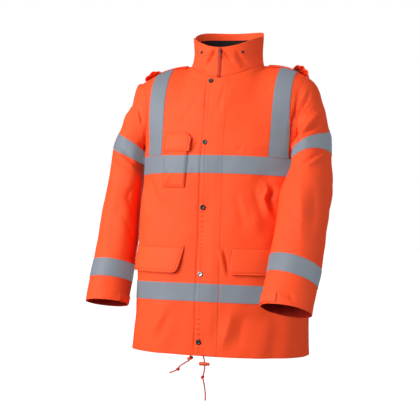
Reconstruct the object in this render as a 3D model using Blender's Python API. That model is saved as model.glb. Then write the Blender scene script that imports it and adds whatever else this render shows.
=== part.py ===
"""Hi-vis work jacket in its worn shape, hollow, with no wearer.

Metres, +Z up. The front faces -Y and the wearer's left is at +X. The origin is the centre of the
neck, level with the neck ends of the shoulder seams. Every cloth panel is a wall under one outer
surface, and what is sewn on a panel is made from the points of that surface, moved out.
"""

import math
from collections import defaultdict, namedtuple
from functools import lru_cache

import bmesh
import bpy
import numpy as np

RIGHT, LEFT = -1, 1
FRONT, BACK = -1, 1
SIDE_NAMES = {RIGHT: "right", LEFT: "left"}

# Cloth and gaps
CLOTH = 0.0018
TAPE = 0.0006
SEAM_GAP = 0.0003
LIE_GAP = 0.0005
TAPE_WIDTH = 0.050

# Heights
HEM_Z = -0.826
UNDERARM_Z = -0.250
CHEST_TAPE_Z = -0.266
HIP_TAPE_Z = -0.624
NECK_FRONT_Z = -0.040
NECK_BACK_Z = 0.016

# Neck and collar
NECK_HALF_WIDTH = 0.106
COLLAR_FRONT, COLLAR_SIDE, COLLAR_BACK = 0.083, 0.083, 0.092
COLLAR_CLOTH = 0.0022
LINING = 0.0012

# Centre front
ZIP_WIDTH = 0.011
ZIP_THICK, ZIP_UNDER = 0.0014, 0.0002
FLAP_HALF_WIDTH = 0.031
FLAP_CLOTH = 0.0016
FLAP_EDGE_RISE = 0.0010  # how far the storm flap's free edge stands off
FLAP_START, FLAP_END = 0.003, 1.975  # its ends, as places up the body
SNAP_HEIGHTS = (-0.055, -0.230, -0.412, -0.598, -0.787)
SNAP_RADIUS = 0.0075
SNAP_HEIGHT = 0.0026
SNAPS_FROM_CENTRE = 0.0215
HOOD_SNAP_RADIUS, HOOD_SNAP_HEIGHT = 0.0045, 0.0018
HOOD_SNAP_TURN, HOOD_SNAP_UP = 0.41, 0.68

NECK_COLUMNS, SEAM_COLUMNS = 7, 7
COLUMNS = NECK_COLUMNS + SEAM_COLUMNS
CAP_ROWS = 4
ARMHOLE_ROWS = 10

TORSO_RINGS = {  # half width and squareness of the level outline, by height
    "z": (-0.83, -0.74, -0.62, -0.52, -0.42, -0.33, -0.25),
    "half_width": (0.260, 0.255, 0.251, 0.251, 0.247, 0.240, 0.236),
    "squareness": (2.4, 2.4, 2.45, 2.5, 2.55, 2.6, 2.6),
}
CENTRE_LINES = {  # how far the centre front and the centre back stand from the neck's axis
    "z": (-0.83, -0.65, -0.45, -0.25, -0.16, -0.09, -0.04, 0.016),
    "front": (0.151, 0.152, 0.147, 0.142, 0.133, 0.115, 0.094, 0.080),
    "back": (0.147, 0.141, 0.134, 0.131, 0.134, 0.124, 0.110, 0.092),
}
SHOULDER_TIPS = {RIGHT: (0.247, 0.004, -0.044), LEFT: (0.240, -0.006, -0.036)}
SHOULDER_RISE = 0.012
SIDE_SAG = {  # how far the level lines drop towards the side seams, by height
    "z": (-0.83, -0.674, -0.624, -0.40, -0.316, -0.266, -0.250),
    RIGHT: (0.003, 0.009, 0.009, 0.005, 0.011, 0.010, 0.000),
    LEFT: (-0.003, 0.004, 0.004, 0.004, 0.011, 0.010, 0.000),
}
ARMHOLES = {  # reach of the seam to the front and back, and how far it cuts in at mid height
    (RIGHT, FRONT): dict(reach=0.086, cut_in=0.024),
    (RIGHT, BACK): dict(reach=0.088, cut_in=0.014),
    (LEFT, FRONT): dict(reach=0.088, cut_in=0.014),
    (LEFT, BACK): dict(reach=0.090, cut_in=0.018),
}
SLEEVE_COLUMNS = "x y z half_width half_depth tilt dip".split()
SLEEVES = {  # rings from the upper tape's top edge to the cuff; x is measured out from the centre
    RIGHT: (
        (0.275, 0.000, -0.212, 0.054, 0.080, 22, 0.028),
        (0.289, 0.003, -0.260, 0.055, 0.080, 20, 0.014),
        (0.300, 0.004, -0.335, 0.057, 0.078, 12, 0.004),
        (0.310, -0.005, -0.417, 0.057, 0.075, 8, 0.000),
        (0.314, -0.026, -0.498, 0.058, 0.071, 5, 0.000),
        (0.318, -0.051, -0.583, 0.061, 0.066, 2, 0.000),
        (0.321, -0.065, -0.632, 0.061, 0.062, 1, 0.000),
        (0.323, -0.074, -0.664, 0.061, 0.059, 1, 0.000),
        (0.325, -0.083, -0.697, 0.062, 0.056, 0, 0.000),
    ),
    LEFT: (
        (0.261, -0.034, -0.218, 0.052, 0.082, 22, 0.030),
        (0.268, -0.046, -0.266, 0.049, 0.084, 18, 0.016),
        (0.273, -0.080, -0.330, 0.056, 0.082, 8, 0.004),
        (0.270, -0.119, -0.398, 0.062, 0.078, -2, 0.000),
        (0.263, -0.158, -0.470, 0.068, 0.073, -8, 0.000),
        (0.256, -0.200, -0.556, 0.073, 0.064, -13, 0.000),
        (0.252, -0.222, -0.600, 0.072, 0.058, -13, 0.000),
        (0.249, -0.240, -0.640, 0.071, 0.053, -10, 0.000),
        (0.247, -0.257, -0.678, 0.070, 0.049, -6, 0.000),
    ),
}
SLEEVE_TAPES = ((0, 1), (5, 6))  # pairs of rows of the table above
ARM_TO_BODY = 0.007

Fold = namedtuple("Fold", "start end width height")
BODY_FOLDS = (  # soft ridges (+) and troughs (-) of the body, from one place to another
    Fold((0.215, -0.085, -0.270), (0.120, -0.145, -0.350), 0.020, -0.004),
    Fold((0.205, -0.100, -0.340), (0.135, -0.145, -0.450), 0.024, 0.004),
    Fold((0.235, -0.050, -0.420), (0.190, -0.120, -0.510), 0.022, -0.004),
    Fold((-0.215, -0.085, -0.330), (-0.150, -0.140, -0.420), 0.024, -0.004),
    Fold((-0.140, -0.150, -0.700), (-0.150, -0.150, -0.826), 0.034, 0.004),
    Fold((0.100, -0.150, -0.690), (0.085, -0.150, -0.826), 0.030, 0.004),
    Fold((0.190, -0.120, -0.680), (0.185, -0.120, -0.826), 0.032, -0.005),
    Fold((-0.215, 0.085, -0.280), (-0.100, 0.135, -0.400), 0.024, -0.005),
    Fold((0.215, 0.085, -0.280), (0.100, 0.135, -0.390), 0.024, -0.005),
    Fold((0.150, 0.130, -0.420), (-0.120, 0.135, -0.470), 0.026, -0.004),
    Fold((0.110, 0.140, -0.640), (0.120, 0.140, -0.826), 0.036, -0.005),
    Fold((-0.090, 0.140, -0.660), (-0.100, 0.140, -0.826), 0.036, -0.005),
)
SLEEVE_FOLDS = {  # the same for each sleeve
    RIGHT: (
        Fold((-0.266, -0.040, -0.066), (-0.264, 0.030, -0.066), 0.020, 0.015),
        Fold((-0.300, -0.040, -0.122), (-0.300, 0.030, -0.122), 0.032, -0.012),
        Fold((-0.340, -0.060, -0.270), (-0.260, -0.080, -0.320), 0.016, -0.004),
        Fold((-0.360, 0.020, -0.400), (-0.300, -0.080, -0.430), 0.018, -0.004),
        Fold((-0.350, 0.060, -0.450), (-0.280, 0.070, -0.500), 0.018, -0.004),
    ),
    LEFT: (
        Fold((0.262, -0.080, -0.095), (0.235, -0.100, -0.160), 0.014, -0.005),
        Fold((0.290, -0.100, -0.120), (0.250, -0.110, -0.190), 0.014, 0.003),
        Fold((0.330, -0.140, -0.370), (0.240, -0.190, -0.420), 0.018, -0.004),
        Fold((0.330, -0.100, -0.420), (0.250, -0.080, -0.470), 0.018, -0.004),
    ),
}


def unit(vector):
    return vector / np.linalg.norm(vector)


def smooth(keys, values, at):
    """A cubic curve through a table's points, read at one place."""
    keys, values = np.asarray(keys, float), np.asarray(values, float)
    slopes = np.gradient(values, keys)
    i = int(np.clip(np.searchsorted(keys, at) - 1, 0, len(keys) - 2))
    span = keys[i + 1] - keys[i]
    u = np.clip((at - keys[i]) / span, 0, 1)
    start = (1 + 2 * u) * (1 - u) ** 2 * values[i] + u * (1 - u) ** 2 * span * slopes[i]
    end = u * u * (3 - 2 * u) * values[i + 1] - u * u * (1 - u) * span * slopes[i + 1]
    return start + end


def smoothstep(u):
    u = np.clip(u, 0, 1)
    return u * u * (3 - 2 * u)


def folded(point, out, folds):
    """The point moved along out by each fold that passes near it."""
    moved = point.copy()
    for fold in folds:
        start, end = np.array(fold.start), np.array(fold.end)
        along = np.dot(point - start, end - start) / np.dot(end - start, end - start)
        nearest = start + np.clip(along, 0, 1) * (end - start)
        away = np.linalg.norm(point - nearest)
        if away < 3 * fold.width:
            moved += out * fold.height * math.exp(-((away / fold.width) ** 2))
    return moved


# The body's outer surface: rings from the hem to the underarm, then a patch up to neck and shoulder


@lru_cache(maxsize=None)
def quarter_ring(face, z):
    """Arc fractions, x and y of a quarter of the outline, from the centre line to the side seam."""
    half_width = smooth(TORSO_RINGS["z"], TORSO_RINGS["half_width"], z)
    power = 2 / smooth(TORSO_RINGS["z"], TORSO_RINGS["squareness"], z)
    depth = smooth(CENTRE_LINES["z"], CENTRE_LINES["front" if face == FRONT else "back"], z)
    turn = np.linspace(0, math.pi / 2, 181)
    x = half_width * np.sin(turn) ** power
    y = face * depth * np.cos(turn).clip(0) ** power
    arc = np.concatenate([[0], np.cumsum(np.hypot(np.diff(x), np.diff(y)))])
    return arc / arc[-1], x, y


def ring_point(side, face, across, z):
    arc, x, y = quarter_ring(face, round(z, 6))
    return np.array([side * np.interp(across, arc, x), np.interp(across, arc, y), z])


def centre_point(face, z):
    depth = smooth(CENTRE_LINES["z"], CENTRE_LINES["front" if face == FRONT else "back"], z)
    return np.array([0, face * depth, z])


def neck_point(side, face, turn):
    """The neckline, from the centre front or back at turn 0 to the shoulder seam at turn 1."""
    angle = turn * math.pi / 2
    middle_z = NECK_FRONT_Z if face == FRONT else NECK_BACK_Z
    depth = abs(centre_point(face, middle_z)[1])
    z = middle_z * (1 + math.cos(2 * angle)) / 2
    return np.array([side * NECK_HALF_WIDTH * math.sin(angle), face * depth * math.cos(angle), z])


def shoulder_tip(side):
    x, y, z = SHOULDER_TIPS[side]
    return np.array([side * x, y, z])


def top_point(side, face, across):
    """The top edge of a panel: the neckline, then the shoulder seam."""
    neck_share = NECK_COLUMNS / COLUMNS
    if across <= neck_share:
        return neck_point(side, face, across / neck_share)
    along = (across - neck_share) / (1 - neck_share)
    start, end = neck_point(side, face, 1), shoulder_tip(side)
    rise = np.array([0, 0, SHOULDER_RISE * math.sin(math.pi * along)])
    return start + (end - start) * along + rise


def armhole_point(side, face, up):
    """The armhole seam, from the underarm at up 0 to the shoulder tip at up 1."""
    low, tip = ring_point(side, face, 1, UNDERARM_Z), shoulder_tip(side)
    shape = ARMHOLES[side, face]
    rise, swing = (1 - math.cos(math.pi * up)) / 2, math.sin(math.pi * up)
    point = low + (tip - low) * rise
    point[0] -= side * shape["cut_in"] * swing**2
    point[1] += face * shape["reach"] * swing**0.85
    return point


def armhole_share(side, face, up):
    """How far round the underarm ring the panel still reaches where the armhole has begun."""
    arc, _, y = quarter_ring(face, UNDERARM_Z)
    reach = abs(armhole_point(side, face, min(up, 0.5))[1])
    return float(np.interp(reach, abs(y[::-1]), arc[::-1]))


def rise_between(face, low, top, across, high):
    """A curve that leaves low straight up and turns over towards the back, or the front, at top."""
    length = np.linalg.norm(top - low)
    arrive = unit(np.array([0, -face, 0.9 - 0.6 * across])) * length
    return (
        (1 + 2 * high) * (1 - high) ** 2 * low
        + high * (1 - high) ** 2 * np.array([0, 0, length])
        + high * high * (3 - 2 * high) * top
        - high * high * (1 - high) * arrive
    )


@lru_cache(maxsize=None)
def plain_body(side, face, across, up):
    """The body's surface before folds; up runs 0 to 1 from hem to underarm and 1 to 2 above it."""
    if up <= 1:
        z = HEM_Z + (UNDERARM_Z - HEM_Z) * up
        sag = np.interp(z, SIDE_SAG["z"], SIDE_SAG[side]) * across**2
        return ring_point(side, face, across, z) - (0, 0, sag)
    high = up - 1
    widest = armhole_share(side, face, high)
    low, top = ring_point(side, face, across * widest, UNDERARM_Z), top_point(side, face, across)
    point = rise_between(face, low, top, across, high)
    middle_top = NECK_FRONT_Z if face == FRONT else NECK_BACK_Z
    middle = centre_point(face, UNDERARM_Z + (middle_top - UNDERARM_Z) * high)
    arm = armhole_point(side, face, high)
    at_middle = rise_between(face, centre_point(face, UNDERARM_Z), top_point(side, face, 0), 0, high)
    low_arm = ring_point(side, face, widest, UNDERARM_Z)
    at_arm = rise_between(face, low_arm, shoulder_tip(side), 1, high)
    share = smoothstep(across)
    return point + (middle - at_middle) * (1 - share) + (arm - at_arm) * share


def body(side, face, across, up):
    point = plain_body(side, face, across, up)
    out = unit(np.array([point[0] * 0.4, point[1], 0]) + 1e-9)
    return folded(point, out, BODY_FOLDS)


def row_of(z):
    return (z - HEM_Z) / (UNDERARM_Z - HEM_Z)


BODY_ROWS = [row_of(z) for z in (
    HEM_Z, -0.788, -0.732, HIP_TAPE_Z - TAPE_WIDTH, HIP_TAPE_Z, -0.572, -0.517, -0.463, -0.410,
    -0.362, CHEST_TAPE_Z - TAPE_WIDTH, CHEST_TAPE_Z,
)] + [1 + step / ARMHOLE_ROWS for step in range(ARMHOLE_ROWS + 1)]


# The sleeves' outer surface: the armhole seam, a cap that turns down, then the rings of the table


def armhole_loop(side, turn):
    """The armhole seam all round: 0 is the underarm, 0.25 the front, 0.5 the tip, 0.75 the back."""
    turn %= 1
    if turn <= 0.5:
        return body(side, FRONT, 1, 1 + 2 * turn)
    return body(side, BACK, 1, 1 + 2 * (1 - turn))


@lru_cache(maxsize=None)
def sleeve_frame(side, row):
    """Centre, out, front and down directions and sizes of a sleeve ring, at any place between rows."""
    table = np.array(SLEEVES[side])
    rows = np.arange(len(table))
    x, y, z, half_width, half_depth, tilt, dip = (
        smooth(rows, table[:, column], row) for column in range(len(SLEEVE_COLUMNS))
    )
    centre = np.array([side * x, y, z])
    before, after = max(row - 0.5, 0), min(row + 0.5, rows[-1])
    y_rate = smooth(rows, table[:, 1], after) - smooth(rows, table[:, 1], before)
    z_rate = smooth(rows, table[:, 2], after) - smooth(rows, table[:, 2], before)
    down = unit(np.array([side * math.tan(math.radians(tilt)), -y_rate / z_rate, -1]))
    front = unit(np.array([0, -1, 0]) - down * np.dot([0, -1, 0], down))
    out = unit(np.array([side, 0, 0]) - down * side * down[0] - front * side * front[0])
    return centre, out, front, down, half_width, half_depth, dip


def clear_of_body(point, side):
    """The point pushed outwards, if need be, until it just misses the side of the body."""
    if point[2] >= UNDERARM_Z + 0.015:
        return point
    z = min(max(point[2], HEM_Z), UNDERARM_Z)
    half_width = smooth(TORSO_RINGS["z"], TORSO_RINGS["half_width"], z)
    squareness = smooth(TORSO_RINGS["z"], TORSO_RINGS["squareness"], z)
    face = FRONT if point[1] < 0 else BACK
    share = min(abs(point[1] / centre_point(face, z)[1]), 1)
    margin = ARM_TO_BODY * max(0.45, smoothstep((UNDERARM_Z - z) / 0.02))
    least = half_width * (1 - share**squareness) ** (1 / squareness) + margin
    if side * point[0] < least and share < 1:
        point = np.array([side * least, point[1], point[2]])
    return point


def ring_of_sleeve(side, row, turn):
    centre, out, front, down, half_width, half_depth, dip = sleeve_frame(side, row)
    angle = 2 * math.pi * turn
    lowered = dip * ((1 + math.cos(angle)) / 2) ** 4
    return (
        centre
        - out * half_width * math.cos(angle)
        + front * half_depth * math.sin(angle)
        + down * lowered
    )


@lru_cache(maxsize=None)
def plain_sleeve(side, row, turn):
    """The sleeve's surface before folds. row -1 is the armhole seam, 0 the table's first ring."""
    if row >= 0:
        return clear_of_body(ring_of_sleeve(side, row, turn), side)
    step = row + 1
    start, end = armhole_loop(side, turn), ring_of_sleeve(side, 0, turn)
    down = sleeve_frame(side, 0)[3]
    length = np.linalg.norm(end - start)
    under = (1 + math.cos(2 * math.pi * turn)) / 2
    leave = unit(np.array([side * 0.85, 0, -0.5 - 0.3 * under])) * length
    arrive = down * length
    point = (
        (1 + 2 * step) * (1 - step) ** 2 * start
        + step * (1 - step) ** 2 * leave
        + step * step * (3 - 2 * step) * end
        - step * step * (1 - step) * arrive
    )
    return clear_of_body(point, side)


def sleeve(side, row, turn):
    point = plain_sleeve(side, row, turn % 1)
    centre = sleeve_frame(side, max(row, 0))[0]
    out = point - centre
    fade = smoothstep((row + 1) * 2)
    return point + (folded(point, unit(out), SLEEVE_FOLDS[side]) - point) * fade


SLEEVE_ROWS = [-1 + step / CAP_ROWS for step in range(CAP_ROWS)] + [
    0, 1, 1.5, 2, 2.5, 3, 3.5, 4, 4.5, 5, 6, 6.5, 7, 7.5, 8,
]


# The collar's outer surface, which starts on the neckline


def collar(side, face, turn, up):
    """turn runs 0 to 1 from the centre to the shoulder seam, up 0 to 1 from neckline to top edge."""
    start = neck_point(side, face, turn)
    if face == FRONT:
        height = COLLAR_FRONT + (COLLAR_SIDE - COLLAR_FRONT) * math.sin(turn * math.pi / 2) ** 2
    else:
        middle_top = NECK_BACK_Z + COLLAR_BACK
        height = COLLAR_SIDE + (middle_top - COLLAR_SIDE) * (1 - turn ** 4) - start[2]
    scale = smooth((0, 0.2, 0.45, 0.7, 1), (1, 0.962, 0.948, 0.960, 0.972), up)
    lean = 0.006 * up if face == BACK else -0.001 * up
    return np.array([
        start[0] * scale,
        start[1] * scale - lean * math.cos(turn * math.pi / 2),
        start[2] + height * up,
    ])


LINING_TOP = 0.76
COLLAR_ROWS = (0, 0.15, 0.4, LINING_TOP, 1)


# Grids of points, and walls made from them


def grid_points(surface, rows, columns):
    return np.array([[surface(row, column) for column in columns] for row in rows])


def grid_normals(points):
    """A unit normal at each point of a grid, from its four neighbours."""
    along = np.gradient(points, axis=1)
    up = np.gradient(points, axis=0)
    normals = np.cross(along, up)
    return normals / np.linalg.norm(normals, axis=2, keepdims=True)


def around_normals(points):
    """The same for a grid whose last column meets its first, which it leaves out."""
    wrapped = np.concatenate([points[:, -1:], points, points[:, :1]], axis=1)
    return grid_normals(wrapped)[:, 1:-1]


def share_normals(groups):
    """Gives points in one place, as along a seam, one normal; each group of panels counts once."""
    total = defaultdict(lambda: np.zeros(3))

    def place(point):
        return tuple(np.round(point, 5))

    for group in groups:
        sums = defaultdict(lambda: np.zeros(3))
        for points, normals in group:
            for point, normal in zip(points.reshape(-1, 3), normals.reshape(-1, 3)):
                sums[place(point)] += normal
        for where, normal in sums.items():
            total[where] += unit(normal)
    for group in groups:
        for points, normals in group:
            for index in np.ndindex(points.shape[:2]):
                normals[index] = unit(total[place(points[index])])


def inset(points, by, wrap):
    """The grid's edges drawn in, so that two panels which share a seam leave a gap there."""
    points = points.copy()
    lines = [(points[0], points[1]), (points[-1], points[-2])]
    if not wrap:
        lines += [(points[:, 0], points[:, 1]), (points[:, -1], points[:, -2])]
    moves = []
    for edge, beside in lines:
        step = beside - edge
        moves.append(by * step / np.linalg.norm(step, axis=1, keepdims=True))
    for (edge, _), move in zip(lines, moves):
        edge += move
    return points


def material(name, colour, roughness, metallic=0.0):
    made = bpy.data.materials.get(name)
    if made:
        return made
    made = bpy.data.materials.new(name)
    made.use_nodes = True
    shader = made.node_tree.nodes["Principled BSDF"]
    shader.inputs["Base Color"].default_value = (*colour, 1)
    shader.inputs["Roughness"].default_value = roughness
    shader.inputs["Metallic"].default_value = metallic
    return made


def orange():
    return material("orange_cloth", (0.93, 0.13, 0.035), 0.7)


def silver():
    return material("reflective_tape", (0.30, 0.34, 0.40), 0.45)


def black():
    return material("black_lining", (0.012, 0.012, 0.013), 0.9)


def gunmetal():
    return material("gunmetal", (0.09, 0.085, 0.085), 0.35, 0.9)


def plastic():
    return material("orange_plastic", (0.85, 0.10, 0.03), 0.5)


def finish(name, mesh_source, look):
    """Turns a bmesh into the named object."""
    mesh = bpy.data.meshes.new(name)
    bmesh.ops.recalc_face_normals(mesh_source, faces=mesh_source.faces)
    mesh_source.to_mesh(mesh)
    mesh_source.free()
    mesh.materials.append(look)
    mesh.shade_smooth()
    mesh.set_sharp_from_angle(angle=math.radians(40))
    made = bpy.data.objects.new(name, mesh)
    bpy.context.scene.collection.objects.link(made)
    return made


TIE_BREAK = np.array((0.31, 0.52, 0.79))  # a slanted line along which no two corners tie


def wall(name, points, normals, outer, inner, look, wrap=False):
    """A closed wall over a grid: its faces lie outer and inner away from the points.

    outer and inner are distances along the normals, one number or one for each point. A four-sided
    face is split where that leaves it fullest, so that walls over one another split alike.
    """
    rows, columns = points.shape[:2]
    outer, inner = (np.broadcast_to(level, (rows, columns))[..., None] for level in (outer, inner))
    skins = [points + normals * outer, points + normals * inner]
    shape = bmesh.new()
    layers = [[[shape.verts.new(point) for point in row] for row in skin] for skin in skins]
    last = columns if wrap else columns - 1

    def split(corners, first):
        a, b, c, d = corners
        for triangle in ((a, b, c), (a, c, d)) if first else ((a, b, d), (b, c, d)):
            shape.faces.new(triangle)

    for row in range(rows - 1):
        for column in range(last):
            beside = (column + 1) % columns
            places = [(row, column), (row, beside), (row + 1, beside), (row + 1, column)]
            a, b, c, d = (points[place] for place in places)
            out = sum(normals[place] for place in places)
            first = np.dot(a + c - b - d, out) > 0
            for layer in layers:
                split([layer[i][j] for i, j in places], first)

    def close_edge(edge):
        for (i, j), (k, m) in zip(edge, edge[1:]):
            first = np.dot(points[i, j] - points[k, m], TIE_BREAK) > 0
            corners = [layers[0][i][j], layers[0][k][m], layers[1][k][m], layers[1][i][j]]
            split(corners, first)

    for row in (0, rows - 1):
        close_edge([(row, column % columns) for column in range(last + 1)])
    if not wrap:
        for column in (0, columns - 1):
            close_edge([(row, column) for row in range(rows)])
    return finish(name, shape, look)


def clear_scene():
    for each in list(bpy.data.objects):
        bpy.data.objects.remove(each, do_unlink=True)


# The panels

QUARTER = 0.32  # length round the hem from the centre line to the side seam, nearly
COLLAR_QUARTER = 0.165  # the same round the neck
ZIP_EDGE = ZIP_WIDTH / 2 / QUARTER
FRONT_START = (ZIP_WIDTH / 2 + SEAM_GAP) / QUARTER


def build_shell():
    """Fronts, back, sleeves and collar, which share the normals along their seams."""
    across = [max(step / COLUMNS, FRONT_START) for step in range(COLUMNS + 1)]
    both = [step / COLUMNS for step in range(-COLUMNS, COLUMNS + 1)]
    turns = [step / (2 * ARMHOLE_ROWS) for step in range(2 * ARMHOLE_ROWS)]
    front_turns = [step * COLUMNS / NECK_COLUMNS for step in across[: NECK_COLUMNS + 1]]
    back_turns = [step / NECK_COLUMNS for step in range(NECK_COLUMNS)]

    grids = {}
    for side in (RIGHT, LEFT):
        grids[f"front_{SIDE_NAMES[side]}"] = grid_points(
            lambda up, step: body(side, FRONT, step, up), BODY_ROWS, across
        )
        grids[f"sleeve_{SIDE_NAMES[side]}"] = grid_points(
            lambda row, turn: sleeve(side, row, turn), SLEEVE_ROWS, turns
        )
    grids["back"] = grid_points(
        lambda up, step: body(LEFT if step > 0 else RIGHT, BACK, abs(step), up), BODY_ROWS, both
    )
    way_round = (
        [(RIGHT, FRONT, turn) for turn in front_turns]
        + [(RIGHT, BACK, turn) for turn in back_turns[::-1]]
        + [(LEFT, BACK, turn) for turn in back_turns[1:]]
        + [(LEFT, FRONT, turn) for turn in front_turns[::-1]]
    )
    grids["collar"] = grid_points(lambda up, place: collar(*place, up), COLLAR_ROWS, way_round)

    normals = {}
    for name, points in grids.items():
        wrap = name.startswith("sleeve")
        found = around_normals(points) if wrap else grid_normals(points)
        middle = points.mean(axis=1, keepdims=True) if wrap else np.zeros(3)
        outwards = (found * (points - middle))[..., :2].sum() > 0
        normals[name] = found if outwards else -found
    bodies = ("front_right", "front_left", "back")
    sleeves = ("sleeve_right", "sleeve_left")
    share_normals([[(grids[name], normals[name]) for name in group]
                   for group in (bodies, sleeves, ("collar",))])
    for name, points in grids.items():
        wrap = name.startswith("sleeve")
        thick = COLLAR_CLOTH if name == "collar" else CLOTH
        wall(name, inset(points, SEAM_GAP / 2, wrap), normals[name], 0, -thick, orange(), wrap)
    lined = np.s_[: COLLAR_ROWS.index(LINING_TOP) + 1, 1:-1]
    under = COLLAR_CLOTH + LIE_GAP
    wall("collar_lining", grids["collar"][lined], normals["collar"][lined],
         -under, -under - LINING, black())


# Places on the body, found by their distance from the centre line or by how far out they lie


@lru_cache(maxsize=None)
def level_line(side, face, up):
    """Points across a panel at one height, with each one's distance from the centre line."""
    points = np.array([body(side, face, across, up) for across in np.linspace(0, 1, 41)])
    steps = np.linalg.norm(np.diff(points, axis=0), axis=1)
    return np.concatenate([[0], np.cumsum(steps)]), points


def on_body(side, face, up, distance=None, x=None):
    arc, points = level_line(side, face, round(up, 6))
    key, value = (arc, distance) if x is None else (abs(points[:, 0]), x)
    return np.array([np.interp(value, key, points[:, axis]) for axis in range(3)])


@lru_cache(maxsize=None)
def upright(side, distance, x):
    """Points up a front panel, from hem to top, at one distance or one x."""
    return np.array([on_body(side, FRONT, up, distance, x) for up in np.linspace(0, 1.96, 99)])


def on_front(z, side, distance=None, x=None):
    line = upright(side, distance, x)
    return np.array([np.interp(z, line[:, 2], line[:, axis]) for axis in range(3)])


def out_of(points):
    """Normals of a grid, turned to point away from the neck's axis or up."""
    normals = grid_normals(points)
    away = points * (1, 1, 0) + (0, 0, 0.1)
    return normals if (normals * away).sum() > 0 else -normals


def fractions(count):
    return [step / count for step in range(count + 1)]


# Zip, storm flap and snaps


def signed(distance):
    return (LEFT if distance > 0 else RIGHT), abs(distance)


def build_zip():
    """The closed chain on its tape, from the hem to the top of the collar."""
    columns = ((RIGHT, ZIP_EDGE), (RIGHT, 0), (LEFT, ZIP_EDGE))
    rows = [[body(side, FRONT, across, up) for side, across in columns] for up in BODY_ROWS[:-1]]
    widen = COLUMNS / NECK_COLUMNS
    rows += [
        [collar(side, FRONT, across * widen, up) for side, across in columns] for up in COLLAR_ROWS
    ]
    points = np.array(rows)
    wall("zip", points, out_of(points), -ZIP_UNDER, -ZIP_UNDER - ZIP_THICK, orange())


def flap_level(distance, over):
    """The storm flap's free edge, on the wearer's right, stands a little off the front."""
    return over + FLAP_EDGE_RISE * smoothstep(-distance / FLAP_HALF_WIDTH)


def build_storm_flap():
    columns = [FLAP_HALF_WIDTH * (2 * u - 1) for u in fractions(4)]
    rows = [FLAP_START] + BODY_ROWS[1:-1] + [FLAP_END]
    points = np.array([
        [on_body(signed(c)[0], FRONT, up, signed(c)[1]) for c in columns] for up in rows
    ])
    normals = out_of(points)
    lift = np.array([flap_level(c, LIE_GAP) for c in columns])
    wall("storm_flap", points, normals, lift + FLAP_CLOTH, lift, orange())
    over = lift + FLAP_CLOTH + SEAM_GAP
    for name, top in (("chest", CHEST_TAPE_Z), ("hip", HIP_TAPE_Z)):
        low = rows.index(row_of(top - TAPE_WIDTH))
        band = np.s_[low : low + 2]
        wall(f"{name}_tape_on_flap", points[band], normals[band], over + TAPE, over, silver())


def turned(name, profile, sides, centre, axis, look):
    """A solid turned about an axis; the profile is (radius, height) from the axis out and back."""
    axis = unit(np.array(axis, float))
    side = unit(np.cross(axis, (0.3, 0.2, 1)))
    other = np.cross(axis, side)
    shape = bmesh.new()
    rings = []
    for radius, height in profile:
        middle = np.array(centre) + axis * height
        if radius == 0:
            rings.append([shape.verts.new(middle)])
            continue
        rings.append([
            shape.verts.new(
                middle + radius * (math.cos(turn) * side + math.sin(turn) * other)
            )
            for turn in (2 * math.pi * step / sides for step in range(sides))
        ])
    for ring, after in zip(rings, rings[1:]):
        for step in range(sides):
            corners = [ring[step % len(ring)], ring[(step + 1) % len(ring)],
                       after[(step + 1) % len(after)], after[step % len(after)]]
            shape.faces.new(list(dict.fromkeys(corners)))
    return finish(name, shape, look)


def dome(radius, height):
    return [(0, height), (0.55 * radius, 0.92 * height), (0.9 * radius, 0.6 * height),
            (radius, 0.25 * height), (0.94 * radius, 0), (0, 0)]


def normal_at(place, step=0.002):
    """The outward normal of a surface given as a function of two small moves."""
    across = place(step, 0) - place(-step, 0)
    up = place(0, step) - place(0, -step)
    normal = unit(np.cross(across, up))
    return normal if normal[1] < 0 else -normal


def build_snaps():
    for number, z in enumerate(SNAP_HEIGHTS, 1):
        def place(right, rise):
            side, away = signed(round(right - SNAPS_FROM_CENTRE, 5))
            return on_front(z + rise, side, away)

        normal = normal_at(place)
        seat = flap_level(-SNAPS_FROM_CENTRE, LIE_GAP) + FLAP_CLOTH + SEAM_GAP
        centre = place(0, 0) + normal * seat
        turned(f"snap_{number}", dome(SNAP_RADIUS, SNAP_HEIGHT), 14, centre, normal, gunmetal())
    for side in (RIGHT, LEFT):
        def place(right, rise):
            turn = HOOD_SNAP_TURN + side * right / COLLAR_QUARTER
            return collar(side, FRONT, turn, HOOD_SNAP_UP + rise / COLLAR_FRONT)

        normal = normal_at(place)
        centre = place(0, 0) + normal * SEAM_GAP
        name = f"hood_snap_{SIDE_NAMES[side]}"
        profile = dome(HOOD_SNAP_RADIUS, HOOD_SNAP_HEIGHT)
        turned(name, profile, 12, centre, normal, gunmetal())


# Reflective tape

BAND_TO_FLAP = 0.002
BRACE_OVER = 0.0008
BRACE_TO_BAND = 0.0008
BRACE_INNER, BRACE_SPREAD, BRACE_WIDTH = 0.156, 0.005, 0.048  # across the shoulder, by x

def build_body_tapes():
    """The chest and hip bands, which run from one edge of the storm flap round to the other."""
    start = (FLAP_HALF_WIDTH + BAND_TO_FLAP) / QUARTER
    front = [start] + [step / COLUMNS for step in range(2, COLUMNS + 1)]
    back = fractions(COLUMNS)
    way_round = (
        [(RIGHT, FRONT, step) for step in front]
        + [(RIGHT, BACK, step) for step in back[-2::-1]]
        + [(LEFT, BACK, step) for step in back[1:]]
        + [(LEFT, FRONT, step) for step in front[-2::-1]]
    )
    for name, top in (("chest", CHEST_TAPE_Z), ("hip", HIP_TAPE_Z)):
        rows = [row_of(top - TAPE_WIDTH), row_of(top)]
        points = grid_points(lambda up, place: body(*place, up), rows, way_round)
        wall(f"{name}_tape", points, out_of(points), LIE_GAP + TAPE, LIE_GAP, silver())


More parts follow.
